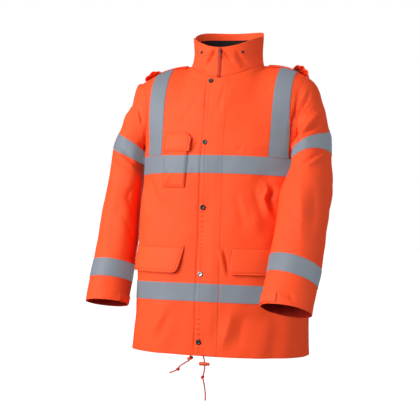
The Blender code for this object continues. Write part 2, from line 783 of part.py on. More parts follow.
def build_braces():
    """Tape from the chest band over each shoulder and down the back to the band again."""
    low = row_of(CHEST_TAPE_Z + BRACE_TO_BAND)
    ups = [low] + BODY_ROWS[-ARMHOLE_ROWS - 1 :]
    for side in (RIGHT, LEFT):
        rows = []
        for face, steps in ((FRONT, ups), (BACK, ups[-2::-1])):
            for up in steps:
                inner = BRACE_INNER + BRACE_SPREAD * (up - low)
                rows.append([
                    on_body(side, face, up, x=inner + BRACE_WIDTH * share)
                    for share in fractions(3)
                ])
        points = np.array(rows)
        normals = out_of(points)
        wall(f"brace_{SIDE_NAMES[side]}", points, normals, BRACE_OVER + TAPE, BRACE_OVER, silver())


def build_sleeve_tapes():
    turns = [step / (2 * ARMHOLE_ROWS) for step in range(2 * ARMHOLE_ROWS)]
    for side in (RIGHT, LEFT):
        for name, rows in zip(("upper", "lower"), SLEEVE_TAPES):
            points = grid_points(lambda row, turn: sleeve(side, row, turn), rows, turns)
            normals = around_normals(points)
            away = points - points.mean(axis=1, keepdims=True)
            normals = normals if (normals * away).sum() > 0 else -normals
            wall(f"sleeve_tape_{name}_{SIDE_NAMES[side]}", points, normals,
                 LIE_GAP + TAPE, LIE_GAP, silver(), wrap=True)


# Pockets

CHEST_POCKET = dict(inner_top=0.0690, inner_bottom=0.0770, outer=0.147, top=-0.215, bottom=-0.358)
POCKET_UNDER = 0.0016  # clears the chest band, which runs on beneath the pocket
POCKET_FULLNESS = 0.0032
POCKET_CLOTH = 0.0014
POCKET_TAPE_Z = -0.268
CHEST_FLAP_ROWS = (  # z, the two ends' distance out, and the height off the front
    (-0.1990, 0.084, 0.143, 0.0008),
    (-0.2070, 0.073, 0.144, 0.0036),
    (-0.2200, 0.062, 0.145, 0.0068),
    (-0.2560, 0.066, 0.146, 0.0084),
)


def build_chest_pocket():
    """A full-cut pocket on the wearer's right, with tape across it and a flap with cut corners."""
    pocket = CHEST_POCKET
    columns = (0, 0.12, 0.5, 0.88, 1)
    rows = (pocket["bottom"], pocket["bottom"] + 0.010, POCKET_TAPE_Z - TAPE_WIDTH,
            POCKET_TAPE_Z, pocket["top"] - 0.008, pocket["top"])
    inner = np.interp(rows, (pocket["bottom"], pocket["top"]),
                      (pocket["inner_bottom"], pocket["inner_top"]))
    points = np.array([
        [on_front(z, RIGHT, x=round(start + (pocket["outer"] - start) * u, 5)) for u in columns]
        for z, start in zip(rows, inner)
    ])
    fullness = np.full((len(rows), len(columns)), POCKET_FULLNESS)
    fullness[[0, -1], :] = 0
    fullness[:, [0, -1]] = 0
    normals = out_of(points)
    under = POCKET_UNDER + fullness
    wall("chest_pocket", points, normals, under + POCKET_CLOTH, under, orange())
    band = np.s_[2:4]
    over = (under + POCKET_CLOTH + SEAM_GAP)[band]
    wall("chest_pocket_tape", points[band], normals[band], over + TAPE, over, silver())

    flap = np.array([
        [on_front(z, RIGHT, x=round(start + (end - start) * u, 5)) for u in fractions(4)]
        for z, start, end, _ in CHEST_FLAP_ROWS
    ])
    lift = np.array([[row[3]] * 5 for row in CHEST_FLAP_ROWS])
    wall("chest_pocket_flap", flap, out_of(flap), lift + POCKET_CLOTH, lift, orange())


LOWER_FLAPS = {  # z, the two ends' distances from the centre front, and the height off the front
    RIGHT: (
        (-0.522, 0.074, 0.262, 0.0007),
        (-0.534, 0.076, 0.263, 0.0026),
        (-0.562, 0.082, 0.265, 0.0058),
        (-0.585, 0.089, 0.267, 0.0082),
        (-0.594, 0.096, 0.268, 0.0088),
        (-0.598, 0.106, 0.269, 0.0090),
    ),
    LEFT: (
        (-0.520, 0.063, 0.252, 0.0007),
        (-0.532, 0.063, 0.252, 0.0024),
        (-0.560, 0.064, 0.252, 0.0044),
        (-0.585, 0.065, 0.252, 0.0058),
        (-0.596, 0.066, 0.252, 0.0062),
    ),
}


def build_lower_flaps():
    for side, table in LOWER_FLAPS.items():
        points = np.array([
            [on_front(z, side, distance=round(start + (end - start) * u, 5)) for u in fractions(9)]
            for z, start, end, _ in table
        ])
        lift = np.array([[row[3]] * 10 for row in table])
        wall(f"lower_pocket_flap_{SIDE_NAMES[side]}", points, out_of(points),
             lift + FLAP_CLOTH, lift, orange())


# Shoulder straps and cuff tabs

STRAP_HALF_WIDTH = 0.017
STRAP_START = 0.122
STRAP_TO_TIP = 0.001
LOOP_SHARES = (0.06, 0.15, 0.3, 0.5, 0.7, 0.85, 0.94, 1)  # places along a loop
STRAP_CLOTH = 0.0016
STRAP_OVER = 0.0019  # clears the brace, which it crosses
STRAP_LOOPS = {  # the loop's length, height and reach past the shoulder tip
    RIGHT: dict(length=0.046, height=0.014, past=0.001),
    LEFT: dict(length=0.041, height=0.022, past=-0.003),
}
LOOP_BACK = 0.02  # how high the loop's back edge stands, as a share of its front edge


def over_shoulder(side, x, distance):
    """A place on the shoulder; distance is measured from the seam, to the front if negative."""
    face = FRONT if distance < 0 else BACK
    drops = np.linspace(0, 0.3, 13)
    line = np.array([on_body(side, face, 2 - drop, x=x) for drop in drops])
    arc = np.concatenate([[0], np.cumsum(np.linalg.norm(np.diff(line, axis=0), axis=1))])
    return np.array([np.interp(abs(distance), arc, line[:, axis]) for axis in range(3)])


def build_shoulder_straps():
    """A strap along each shoulder seam, whose far end stands up in a loop at the armhole."""
    for side, loop in STRAP_LOOPS.items():
        tip = SHOULDER_TIPS[side][0] - STRAP_TO_TIP
        end = SHOULDER_TIPS[side][0] + loop["past"]
        loop_start = end - loop["length"]
        flat_places = list(np.linspace(STRAP_START, loop_start, 5))
        places = flat_places + [loop_start + loop["length"] * share for share in LOOP_SHARES]
        arch = [0] * len(flat_places) + [(4 * share * (1 - share)) ** 0.35 for share in LOOP_SHARES]
        columns = (-1, -0.5, 0, 0.5, 1)
        points = np.array([
            [over_shoulder(side, min(x, tip), STRAP_HALF_WIDTH * v) for v in columns]
            for x in places
        ])
        past = np.maximum(0, np.array(places) - tip)
        points += past[:, None, None] * np.array((side, 0, -0.3))
        slope = np.array([LOOP_BACK + (1 - LOOP_BACK) * (1 - v) / 2 for v in columns])
        lift = STRAP_OVER + loop["height"] * np.array(arch)[:, None] * slope
        normals = out_of(points)
        raised = points + normals * lift[..., None]
        wall(f"shoulder_strap_{SIDE_NAMES[side]}", raised, grid_like(raised, normals),
             STRAP_CLOTH, 0, orange())


def grid_like(points, like):
    """Normals of a grid, turned to agree with others."""
    normals = grid_normals(points)
    return normals if (normals * like).sum() > 0 else -normals


CUFF_TABS = {RIGHT: (-0.16, 0.11), LEFT: (-0.10, 0.20)}  # where round the cuff each tab lies
CUFF_TAB_ROWS = (7.30, 7.52, 7.74, 7.90)
TAB_OVER = 0.0009


def build_cuff_tabs():
    for side, (start, end) in CUFF_TABS.items():
        turns = [start + (end - start) * u for u in fractions(8)]
        points = grid_points(lambda row, turn: sleeve(side, row, turn), CUFF_TAB_ROWS, turns)
        away = points - sleeve_frame(side, CUFF_TAB_ROWS[1])[0]
        wall(f"cuff_tab_{SIDE_NAMES[side]}", points, grid_like(points, away),
             TAB_OVER + FLAP_CLOTH, TAB_OVER, orange())


# Hem cords and their locks

CORD_RADIUS = 0.0020
CORD_STEP = 0.0045
KNOT_RADIUS, KNOT_LENGTH = 0.0040, 0.0038
CORD_ROUTES = {  # x, y, z from inside the hem to the free end
    RIGHT: (
        (-0.0462, -0.1460, -0.8140), (-0.0462, -0.1460, -0.8262), (-0.0466, -0.1472, -0.8340),
        (-0.0490, -0.1500, -0.8405), (-0.0600, -0.1510, -0.8470), (-0.0730, -0.1520, -0.8560),
        (-0.0794, -0.1525, -0.8655), (-0.0900, -0.1530, -0.8720), (-0.1032, -0.1535, -0.8775),
    ),
    LEFT: (
        (-0.0100, -0.1466, -0.8140), (-0.0082, -0.1466, -0.8262), (-0.0045, -0.1485, -0.8370),
        (-0.0030, -0.1505, -0.8470), (-0.0022, -0.1510, -0.8580), (-0.0043, -0.1515, -0.8740),
        (-0.0072, -0.1520, -0.8836), (-0.0040, -0.1520, -0.8950), (0.0012, -0.1515, -0.9230),
        (0.0022, -0.1510, -0.9480),
    ),
}
KNOT_AT = 6  # the point of each route at its knot
LOCK_AT = {RIGHT: 2, LEFT: 3}
LOCK_AXES = {RIGHT: (0, -1, 0), LEFT: (1, 0, 0)}  # towards the button
LOCK_RADIUS, LOCK_BACK, LOCK_FRONT = 0.0051, 0.0150, 0.0078
BORE_RADIUS, BORE_DEPTH = 0.0034, 0.0042
BUTTON_RADIUS, BUTTON_THICK, BUTTON_GAP = 0.0046, 0.0036, 0.0024
STEM_RADIUS, STEM_IN = 0.0030, 0.0016
LOCK_RIM = 0.0006  # the bevel of the locks' and buttons' edges
CORD_HOLE = CORD_RADIUS + 0.0010
HOLE_REACH = 0.010


def smooth_route(places, spacing):
    """Points at even steps along a smooth curve through the places, with each one's share."""
    places = np.array(places)
    keys = np.arange(len(places))
    fine = np.linspace(0, keys[-1], 40 * len(places))
    line = np.array([[smooth(keys, places[:, axis], at) for axis in range(3)] for at in fine])
    arc = np.concatenate([[0], np.cumsum(np.linalg.norm(np.diff(line, axis=0), axis=1))])
    steps = np.linspace(0, arc[-1], max(int(arc[-1] / spacing), 4) + 1)
    return np.array([[np.interp(at, arc, line[:, axis]) for axis in range(3)] for at in steps])


def build_cords():
    """Each end of the hem's draw cord, with a knot near its tip, as one swept tube."""
    for side, route in CORD_ROUTES.items():
        points = smooth_route(route, CORD_STEP)
        knot = np.array(route[KNOT_AT])
        name = f"cord_{SIDE_NAMES[side]}"
        curve = bpy.data.curves.new(name, "CURVE")
        curve.dimensions = "3D"
        curve.bevel_depth = CORD_RADIUS
        curve.bevel_resolution = 2
        curve.use_fill_caps = True
        spline = curve.splines.new("POLY")
        spline.points.add(len(points) - 1)
        for target, point in zip(spline.points, points):
            target.co = (*point, 1)
            near = math.exp(-((np.linalg.norm(point - knot) / KNOT_LENGTH) ** 2))
            target.radius = 1 + (KNOT_RADIUS / CORD_RADIUS - 1) * near
        curve.materials.append(orange())
        bpy.context.scene.collection.objects.link(bpy.data.objects.new(name, curve))


def cut(target, cutter):
    """Cuts one object with another, which stays as a hidden guide."""
    cutter.hide_render = True
    cutter.display_type = "WIRE"
    cutting = target.modifiers.new(cutter.name, "BOOLEAN")
    cutting.operation = "DIFFERENCE"
    cutting.object = cutter


def build_cord_locks():
    """Barrel locks on the cords, each with a sprung button on the end of its barrel."""
    for side, axis in LOCK_AXES.items():
        name = SIDE_NAMES[side]
        route = CORD_ROUTES[side]
        centre = np.array(route[LOCK_AT[side]])
        along = np.array(axis, float)
        barrel = turned(
            f"cord_lock_{name}",
            [(0, -LOCK_BACK), (LOCK_RADIUS - LOCK_RIM, -LOCK_BACK),
             (LOCK_RADIUS, LOCK_RIM - LOCK_BACK), (LOCK_RADIUS, LOCK_FRONT - LOCK_RIM),
             (LOCK_RADIUS - LOCK_RIM, LOCK_FRONT),
             (BORE_RADIUS, LOCK_FRONT), (BORE_RADIUS, LOCK_FRONT - BORE_DEPTH),
             (0, LOCK_FRONT - BORE_DEPTH)],
            14, centre, axis, plastic(),
        )
        way = np.array(route[LOCK_AT[side] + 1]) - np.array(route[LOCK_AT[side] - 1])
        cutter = turned(
            f"cord_hole_{name}",
            [(0, -HOLE_REACH), (CORD_HOLE, -HOLE_REACH), (CORD_HOLE, HOLE_REACH), (0, HOLE_REACH)],
            12, centre, way, plastic(),
        )
        cut(barrel, cutter)
        start = centre + along * (LOCK_FRONT + BUTTON_GAP)
        turned(
            f"cord_lock_button_{name}",
            [(0, BUTTON_THICK), (BUTTON_RADIUS - LOCK_RIM, BUTTON_THICK),
             (BUTTON_RADIUS, BUTTON_THICK - LOCK_RIM), (BUTTON_RADIUS, 0), (STEM_RADIUS, 0),
             (STEM_RADIUS, -BUTTON_GAP - STEM_IN), (0, -BUTTON_GAP - STEM_IN)],
            14, start, axis, plastic(),
        )


# Zip slider and its pull

SLIDER_UP = 0.86  # how far up the collar the slider stands
SLIDER_SIZE = (0.0084, 0.0030, 0.0110)
SLIDER_OFF = SEAM_GAP + 0.0001
PIN_OUT, PIN_RADIUS, PIN_DOWN = 0.0028, 0.0008, 0.0030
LUG_WIDTH, LUG_INSIDE, LUG_PAST_PIN = 0.0012, 0.0021, 0.0015
EYE_RADIUS, EYE_HOLE = 0.0021, 0.0012
PULL_WIDTH, PULL_LENGTH, PULL_THICK = 0.0036, 0.0230, 0.0016
WELD = 0.0005  # how far joined pieces reach into one another


def box(name, low, high, look):
    """A box between two corners in the slider's own axes, moved there by its caller."""
    shape = bmesh.new()
    bmesh.ops.create_cube(shape, size=1)
    low, high = np.array(low), np.array(high)
    for vertex in shape.verts:
        vertex.co = (low + high) / 2 + (high - low) * np.array(vertex.co)
    return finish(name, shape, look)


def join(target, others):
    """Adds other objects to one, which stays one solid."""
    for other in others:
        other.hide_render = True
        other.display_type = "WIRE"
        adding = target.modifiers.new(other.name, "BOOLEAN")
        adding.operation = "UNION"
        adding.object = other


def build_slider():
    """The slider at the top of the closed zip, and the pull that hangs from its pin."""
    seat = collar(LEFT, FRONT, 0, SLIDER_UP)
    above, below = collar(LEFT, FRONT, 0, 1), collar(LEFT, FRONT, 0, 0.5)
    lean = math.atan2(-(above[1] - below[1]), above[2] - below[2])
    frame = bpy.data.objects.new("slider_frame", None)
    frame.location = seat
    frame.rotation_euler = (lean, 0, 0)
    bpy.context.scene.collection.objects.link(frame)

    wide, deep, tall = SLIDER_SIZE
    front = -SLIDER_OFF - deep
    pin_z = tall / 2 - PIN_DOWN
    low, high = (-wide / 2, front, -tall / 2), (wide / 2, -SLIDER_OFF, tall / 2)
    slider = box("zip_slider", low, high, gunmetal())
    reach = LUG_INSIDE + LUG_WIDTH / 2
    lugs = []
    for side in (RIGHT, LEFT):
        start = side * reach - LUG_WIDTH / 2
        low = (start, front - PIN_OUT - LUG_PAST_PIN, pin_z - LUG_PAST_PIN)
        high = (start + LUG_WIDTH, front + WELD, pin_z + LUG_PAST_PIN)
        lugs.append(box(f"lug_{SIDE_NAMES[side]}", low, high, gunmetal()))
    pin = turned("pin", [(0, -reach), (PIN_RADIUS, -reach), (PIN_RADIUS, reach), (0, reach)],
                 10, (0, front - PIN_OUT, pin_z), (1, 0, 0), gunmetal())
    join(slider, lugs + [pin])

    half = PULL_WIDTH / 2
    eye = turned("zip_pull",
                 [(EYE_HOLE, -half), (EYE_RADIUS, -half), (EYE_RADIUS, half), (EYE_HOLE, half),
                  (EYE_HOLE, -half)],
                 14, (0, 0, 0), (1, 0, 0), plastic())
    low = (-half, -PULL_THICK / 2, -PULL_LENGTH)
    high = (half, PULL_THICK / 2, WELD - EYE_RADIUS)
    tab = box("pull_tab", low, high, plastic())
    join(eye, [tab])
    for each in (slider, *lugs, pin):
        each.parent = frame
    for each in (eye, tab):
        each.parent = frame
        each.location = (0, front - PIN_OUT, pin_z)


clear_scene()
build_shell()
build_zip()
build_storm_flap()
build_snaps()
build_body_tapes()
build_braces()
build_sleeve_tapes()
build_chest_pocket()
build_lower_flaps()
build_shoulder_straps()
build_cuff_tabs()
build_cords()
build_cord_locks()
build_slider()
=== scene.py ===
# Hi-vis work jacket in its worn shape, with no wearer.
# Metres, front towards -Y, the wearer's left at +X, origin at the middle of the neck.
import math

import bmesh
import bpy
import numpy as np
from mathutils import Matrix, Vector


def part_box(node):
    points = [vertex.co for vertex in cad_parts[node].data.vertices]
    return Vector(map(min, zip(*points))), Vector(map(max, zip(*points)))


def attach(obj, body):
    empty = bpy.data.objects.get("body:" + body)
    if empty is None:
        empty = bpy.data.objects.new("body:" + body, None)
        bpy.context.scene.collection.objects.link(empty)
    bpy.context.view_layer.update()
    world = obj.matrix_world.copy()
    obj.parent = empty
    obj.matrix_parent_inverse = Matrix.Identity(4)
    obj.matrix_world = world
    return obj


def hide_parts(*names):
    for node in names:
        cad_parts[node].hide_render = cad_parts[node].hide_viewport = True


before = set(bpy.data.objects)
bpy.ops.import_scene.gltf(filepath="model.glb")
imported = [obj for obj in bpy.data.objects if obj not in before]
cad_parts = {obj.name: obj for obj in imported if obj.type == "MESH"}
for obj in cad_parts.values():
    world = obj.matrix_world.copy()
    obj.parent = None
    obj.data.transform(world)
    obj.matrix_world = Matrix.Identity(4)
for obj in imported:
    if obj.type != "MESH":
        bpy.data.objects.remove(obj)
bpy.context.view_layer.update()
print("frame loaded")

wearerRight, wearerLeft = -1, 1
frontFace, backFace = -1, 1
sideName = {wearerRight: "right", wearerLeft: "left"}

# The camera

view = dict(turn=15.5, away=3.2, height=-0.419, lens=94.29, shiftX=-0.03403, shiftY=0.00095, roll=1.6)


def makeCamera():
    lens = bpy.data.cameras.new("studioCamera")
    lens.lens, lens.sensor_width = view["lens"], 36
    lens.shift_x, lens.shift_y = view["shiftX"], view["shiftY"]
    camera = bpy.data.objects.new("studioCamera", lens)
    turn, away = math.radians(view["turn"]), view["away"]
    place = Matrix.Translation((away * math.sin(turn), -away * math.cos(turn), view["height"]))
    look = Matrix.Rotation(turn, 4, "Z") @ Matrix.Rotation(math.pi / 2, 4, "X")
    camera.matrix_world = place @ look @ Matrix.Rotation(math.radians(view["roll"]), 4, "Z")
    bpy.context.scene.collection.objects.link(camera)
    bpy.context.scene.camera = camera


makeCamera()
print("camera made")

# Finishes


def newFinish(name):
    finish = bpy.data.materials.new(name)
    finish.use_nodes = True
    nodes = finish.node_tree.nodes
    return finish, nodes["Principled BSDF"], nodes.new("ShaderNodeTexCoord")


def plug(socket, value):
    # another node's output is linked, a value is set
    if isinstance(value, bpy.types.NodeSocket):
        socket.id_data.links.new(value, socket)
    else:
        socket.default_value = value


def setNode(node, **values):
    for key, value in values.items():
        if hasattr(node, key):
            setattr(node, key, value)
        else:
            plug(node.inputs[key.replace("_", " ")], value)
    return node


def addNode(beside, kind, **values):
    # a node in the same tree as another node or socket
    return setNode(beside.id_data.nodes.new(f"ShaderNode{kind}"), **values)


def mathNode(operation, *values):
    node = addNode(values[0], "Math", operation=operation)
    for socket, value in zip(node.inputs, values):
        plug(socket, value)
    return node.outputs[0]


def noiseIn(place, **values):
    return addNode(place, "TexNoise", Vector=place.outputs["Object"], **values).outputs["Fac"]


def bumpOf(height, strength, distance):
    return addNode(height, "Bump", Height=height, Strength=strength, Distance=distance).outputs["Normal"]


def turnedMap(place, degrees):
    turn = (0, 0, math.radians(degrees))
    return addNode(place, "Mapping", Vector=place.outputs["UV"], Rotation=turn).outputs["Vector"]


def bandsAlong(source, pitch, direction):
    # even bands of that pitch, in metres
    bands = addNode(source, "TexWave", Vector=source, bands_direction=direction, Scale=0.314159 / pitch)
    return bands.outputs["Fac"]


def mixColours(factor, dark, light):
    mix = addNode(factor, "Mix", data_type="RGBA")
    for number, value in ((0, factor), (6, (*dark, 1)), (7, (*light, 1))):
        plug(mix.inputs[number], value)
    return mix.outputs[2]


def wovenCloth(name, dark, light, pitch, rough, sheen, depth):
    # plain weave in the piece's own UV metres, patchy tone in object space
    finish, shader, place = newFinish(name)
    patches = noiseIn(place, Scale=7.0, Detail=3.0, Roughness=0.55)
    grit = noiseIn(place, Scale=900.0, Detail=2.0)
    weave = mathNode("MULTIPLY", *(bandsAlong(place.outputs["UV"], pitch, way) for way in "XY"))
    height = mathNode("ADD", weave, mathNode("MULTIPLY", grit, 0.6))
    setNode(shader, Base_Color=mixColours(patches, dark, light), Normal=bumpOf(height, 0.35, depth),
            Roughness=mathNode("MULTIPLY_ADD", patches, 0.12, rough - 0.06), Specular_IOR_Level=0.18,
            Sheen_Weight=sheen, Sheen_Roughness=0.4, Sheen_Tint=(*light, 1))
    return finish


def hardFinish(name, dark, light, rough, metallic, grain):
    finish, shader, place = newFinish(name)
    marks = noiseIn(place, Scale=grain, Detail=4.0, Roughness=0.65)
    setNode(shader, Base_Color=mixColours(marks, dark, light), Normal=bumpOf(marks, 0.12, 0.0002),
            Roughness=mathNode("MULTIPLY_ADD", marks, 0.3, rough - 0.15), Metallic=metallic)
    return finish


def beadedTape(name, dark, light, netPitch):
    # silver tape: a fine diamond net over tiny beads
    finish, shader, place = newFinish(name)
    turned = turnedMap(place, 45)
    net = mathNode("MAXIMUM", *(bandsAlong(turned, netPitch, way) for way in "XY"))
    patches = noiseIn(place, Scale=9.0, Detail=4.0, Roughness=0.6)
    beads = noiseIn(place, Scale=2600.0, Detail=1.0)
    tone = mathNode("ADD", patches, mathNode("MULTIPLY", net, 0.06))
    height = mathNode("ADD", mathNode("MULTIPLY", net, 0.5), beads)
    # a painted glow: a weak emission lifts the tape evenly whichever way it faces, standing in for the glass
    # beads sending light straight back
    setNode(shader, Base_Color=mixColours(tone, dark, light), Normal=bumpOf(height, 0.3, 0.00008),
            # the emission below is painted light: the tape glows a little by itself
            Roughness=0.55, Specular_IOR_Level=0.3, Emission_Color=(0.80, 0.89, 1.0, 1),
            Emission_Strength=0.14)
    return finish


def braidedCord(name, dark, light, pitch):
    finish, shader, place = newFinish(name)
    braid = mathNode("MAXIMUM", *(bandsAlong(turnedMap(place, lean), pitch, "X") for lean in (38, -38)))
    setNode(shader, Base_Color=mixColours(braid, dark, light), Normal=bumpOf(braid, 0.8, 0.0003),
            Roughness=0.75, Sheen_Weight=0.2)
    return finish


slots, finishes = {}, {}


def addFinishes(slot, maker, **told):
    for name, values in told.items():
        slots[name], finishes[name] = slot, maker(name, *values)


# cloth: two tones, the weave's pitch, roughness, sheen and depth
addFinishes("orange_cloth", wovenCloth,
            shellCloth=((0.90, 0.068, 0.014), (0.97, 0.092, 0.021), 0.0007, 0.66, 0.05, 0.00012),
            flapCloth=((0.91, 0.074, 0.016), (0.98, 0.098, 0.023), 0.0007, 0.64, 0.05, 0.00012),
            # the inside face's colour is painted shade: far darker than the shell, for the shade that falls
            # inside the cuffs and hem
            innerCloth=((0.34, 0.010, 0.004), (0.44, 0.016, 0.006), 0.0011, 0.85, 0.05, 0.00012),
            zipCloth=((0.52, 0.040, 0.012), (0.66, 0.060, 0.018), 0.0008, 0.75, 0.05, 0.00015),
            # the orange thread's colour is partly its own and partly painted shade: darkened so each stitch
            # line reads like the shaded groove it presses in
            orangeThread=((0.62, 0.034, 0.008), (0.76, 0.050, 0.012), 0.0004, 0.6, 0.05, 0.00005))
addFinishes("black_lining", wovenCloth,
            blackLining=((0.010, 0.008, 0.008), (0.022, 0.018, 0.018), 0.0010, 0.92, 0.15, 0.00015))
addFinishes("reflective_tape", wovenCloth,
            greyThread=((0.20, 0.22, 0.26), (0.30, 0.33, 0.38), 0.0004, 0.6, 0.05, 0.00005))
# tape and cord: two tones, the pitch of the net or braid
addFinishes("reflective_tape", beadedTape,
            reflectiveTape=((0.086, 0.100, 0.124), (0.113, 0.129, 0.156), 0.0011))
addFinishes("orange_cord", braidedCord, drawCord=((0.36, 0.014, 0.005), (0.70, 0.046, 0.013), 0.0013))
# metal and plastic: two tones, roughness, how metallic, the grain's scale
addFinishes("gunmetal", hardFinish,
            snapMetal=((0.010, 0.010, 0.011), (0.030, 0.029, 0.030), 0.34, 0.35, 700.0),
            paleSnap=((0.16, 0.16, 0.17), (0.42, 0.42, 0.44), 0.32, 0.8, 700.0))
addFinishes("orange_cloth", hardFinish,
            zipTeeth=((0.34, 0.016, 0.006), (0.44, 0.024, 0.008), 0.75, 0.0, 500.0))
addFinishes("orange_plastic", hardFinish,
            orangePlastic=((0.66, 0.055, 0.014), (0.82, 0.080, 0.020), 0.45, 0.0, 400.0),
            pullPlastic=((0.26, 0.018, 0.008), (0.36, 0.028, 0.011), 0.4, 0.0, 400.0))
print("finishes made")

# Pieces from grids of points


def unit(vectors):
    vectors = np.asarray(vectors, float)
    return vectors / (np.linalg.norm(vectors, axis=-1, keepdims=True) + 1e-12)


def curveBetween(u, start, leave, end, arrive):
    # the soft curve from start to end that leaves and arrives in the given directions
    return ((1 + 2 * u) * (1 - u) ** 2 * start + u * (1 - u) ** 2 * leave
            + u * u * (3 - 2 * u) * end - u * u * (1 - u) * arrive)


def smoothCurve(keys, values, at):
    keys, values, at = (np.asarray(each, float) for each in (keys, values, at))
    slopes = np.gradient(values, keys)
    i = np.clip(np.searchsorted(keys, at) - 1, 0, len(keys) - 2)
    span = keys[i + 1] - keys[i]
    u = np.clip((at - keys[i]) / span, 0, 1)
    return curveBetween(u, values[i], span * slopes[i], values[i + 1], span * slopes[i + 1])


def smoothStep(u):
    u = np.clip(u, 0, 1)
    return u * u * (3 - 2 * u)


def bell(u):
    return np.exp(-(u ** 2))


def arcAlong(line):
    return np.concatenate([[0], np.cumsum(np.linalg.norm(np.diff(line, axis=0), axis=1))])


def pointsAt(at, keys, line):
    return np.stack([np.interp(at, keys, line[:, axis]) for axis in range(3)], axis=-1)


def placedShape(middle, axes, sizes):
    rows = [(*[float(axis[k]) for axis in axes], float(middle[k])) for k in range(3)]
    return Matrix(rows + [(0, 0, 0, 1)]) @ Matrix.Diagonal((*sizes, 1))


def gridNormals(points, like=None, wrap=False, soften=1):
    # softened normals that face the way of like, or out of the body
    if wrap:
        points = np.concatenate([points[:, -2:-1], points, points[:, 1:2]], axis=1)
    normals = unit(np.cross(np.gradient(points, axis=1), np.gradient(points, axis=0)))
    if wrap:
        normals = normals[:, 1:-1]
    for _ in range(soften):
        padded = np.pad(normals, ((1, 1), (1, 1), (0, 0)), mode="edge")
        above, below = padded[2:, 1:-1], padded[:-2, 1:-1]
        normals = unit(normals * 2 + above + below + padded[1:-1, 2:] + padded[1:-1, :-2])
    if like is None:
        like = points * (1, 1, 0) + (0, 0, 0.1)
    return normals if (normals * like).sum() > 0 else -normals


def gridSteps(points):
    # the distances between neighbours, along the rows and up the columns
    return (np.linalg.norm(np.diff(points, axis=axis), axis=2) for axis in (1, 0))


def metreMap(points):
    # UV in metres: along each row from its middle, and up each column
    across, up = gridSteps(points)
    u = np.pad(np.cumsum(across, axis=1), ((0, 0), (1, 0)))
    v = np.pad(np.cumsum(up, axis=0), ((1, 0), (0, 0)))
    return np.stack([u - u[:, u.shape[1] // 2, None], v], axis=2)


def linkPiece(name, shape, finish, smooth=True):
    mesh = bpy.data.meshes.new(name)
    shape.to_mesh(mesh)
    shape.free()
    mesh.materials.append(finishes[finish])
    if smooth:
        mesh.shade_smooth()
    piece = bpy.data.objects.new(name, mesh)
    bpy.context.scene.collection.objects.link(piece)
    return piece


def adopt(piece, nodes=()):
    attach(piece, "jacket")
    if nodes:
        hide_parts(*nodes)
    return piece


def mapFlat(shape, flat):
    layer = shape.loops.layers.uv.new("clothMetres")
    shape.verts.index_update()
    for face in shape.faces:
        for loop in face.loops:
            loop[layer].uv = flat[loop.vert.index]


def fillEnds(shape, sides):
    bmesh.ops.holes_fill(shape, edges=[edge for edge in shape.edges if edge.is_boundary], sides=sides)


def clothPiece(name, points, normals, thick, finish, nodes=(), wrap=False, inner=None):
    # a cloth panel whose outer face is the grid; a wrapped grid's last column meets its first
    rows, columns = points.shape[:2]
    shape = bmesh.new()
    bmesh.ops.create_grid(shape, x_segments=columns - 1, y_segments=rows - 1, size=1)
    shape.verts.ensure_lookup_table()
    for vertex, place in zip(shape.verts, points.reshape(-1, 3)):
        vertex.co = place
    facing = np.cross(np.gradient(points, axis=1), np.gradient(points, axis=0))
    if (facing * normals).sum() < 0:
        bmesh.ops.reverse_faces(shape, faces=shape.faces)
    mapFlat(shape, metreMap(points).reshape(-1, 2))
    if wrap:
        bmesh.ops.remove_doubles(shape, verts=shape.verts, dist=1e-6)
    piece = linkPiece(name, shape, finish)
    solid = piece.modifiers.new("thickness", "SOLIDIFY")
    solid.thickness, solid.offset = thick, -1
    if inner:
        piece.data.materials.append(finishes[inner])
        solid.material_offset = 1
    piece.modifiers.new("evenShading", "WEIGHTED_NORMAL").weight = 80
    return adopt(piece, nodes)


def laySheet(name, node, points, normals, thick, finish, held, restsOn, wrap=False, inner=None):
    piece = clothPiece(name, points, normals, thick, finish, [node], wrap, inner)


# Stitching: one short thread for each stitch

stitchSize = dict(pitch=0.0036, long=0.0025, wide=0.0007, high=0.0005)
stitchRuns = {}


# stitches default to the orange thread, whose dark tone is partly painted shade of the stitch groove
def stitchAlong(group, line, normals, finish="orangeThread"):
    stitchRuns.setdefault((group, finish), []).append((np.asarray(line), np.asarray(normals)))


def stitchEdges(group, points, normals, edges, inside, finish="orangeThread"):
    # one line of stitches along each named edge of a grid, that far inside it
    turned = points.transpose(1, 0, 2), normals.transpose(1, 0, 2)
    grids = dict(first=(points, normals), last=(points[::-1], normals[::-1]),
                 start=turned, end=(turned[0][::-1], turned[1][::-1]))
    for edge in edges:
        lines, outs = grids[edge]
        stitchAlong(group, lines[0] + unit(lines[1] - lines[0]) * inside, outs[0], finish)


def makeStitches():
    sizes = [stitchSize[key] / 2 for key in ("long", "wide", "high")]
    for (group, finish), runs in stitchRuns.items():
        shape = bmesh.new()
        for line, normals in runs:
            arc = arcAlong(line)
            for at in np.arange(stitchSize["pitch"] / 2, arc[-1], stitchSize["pitch"]):
                ends = pointsAt(np.array((at - 0.001, at + 0.001)), arc, line)
                along = unit(ends[1] - ends[0])
                beside = unit(np.cross(unit(pointsAt(at, arc, normals)), along))
                out = np.cross(along, beside)
                middle = (ends[0] + ends[1]) / 2 + out * 0.0001
                place = placedShape(middle, (along, beside, out), sizes)
                bmesh.ops.create_icosphere(shape, subdivisions=1, radius=1, matrix=place)
        if len(shape.verts):
            adopt(linkPiece(f"stitching_{group}", shape, finish))
        else:
            shape.free()


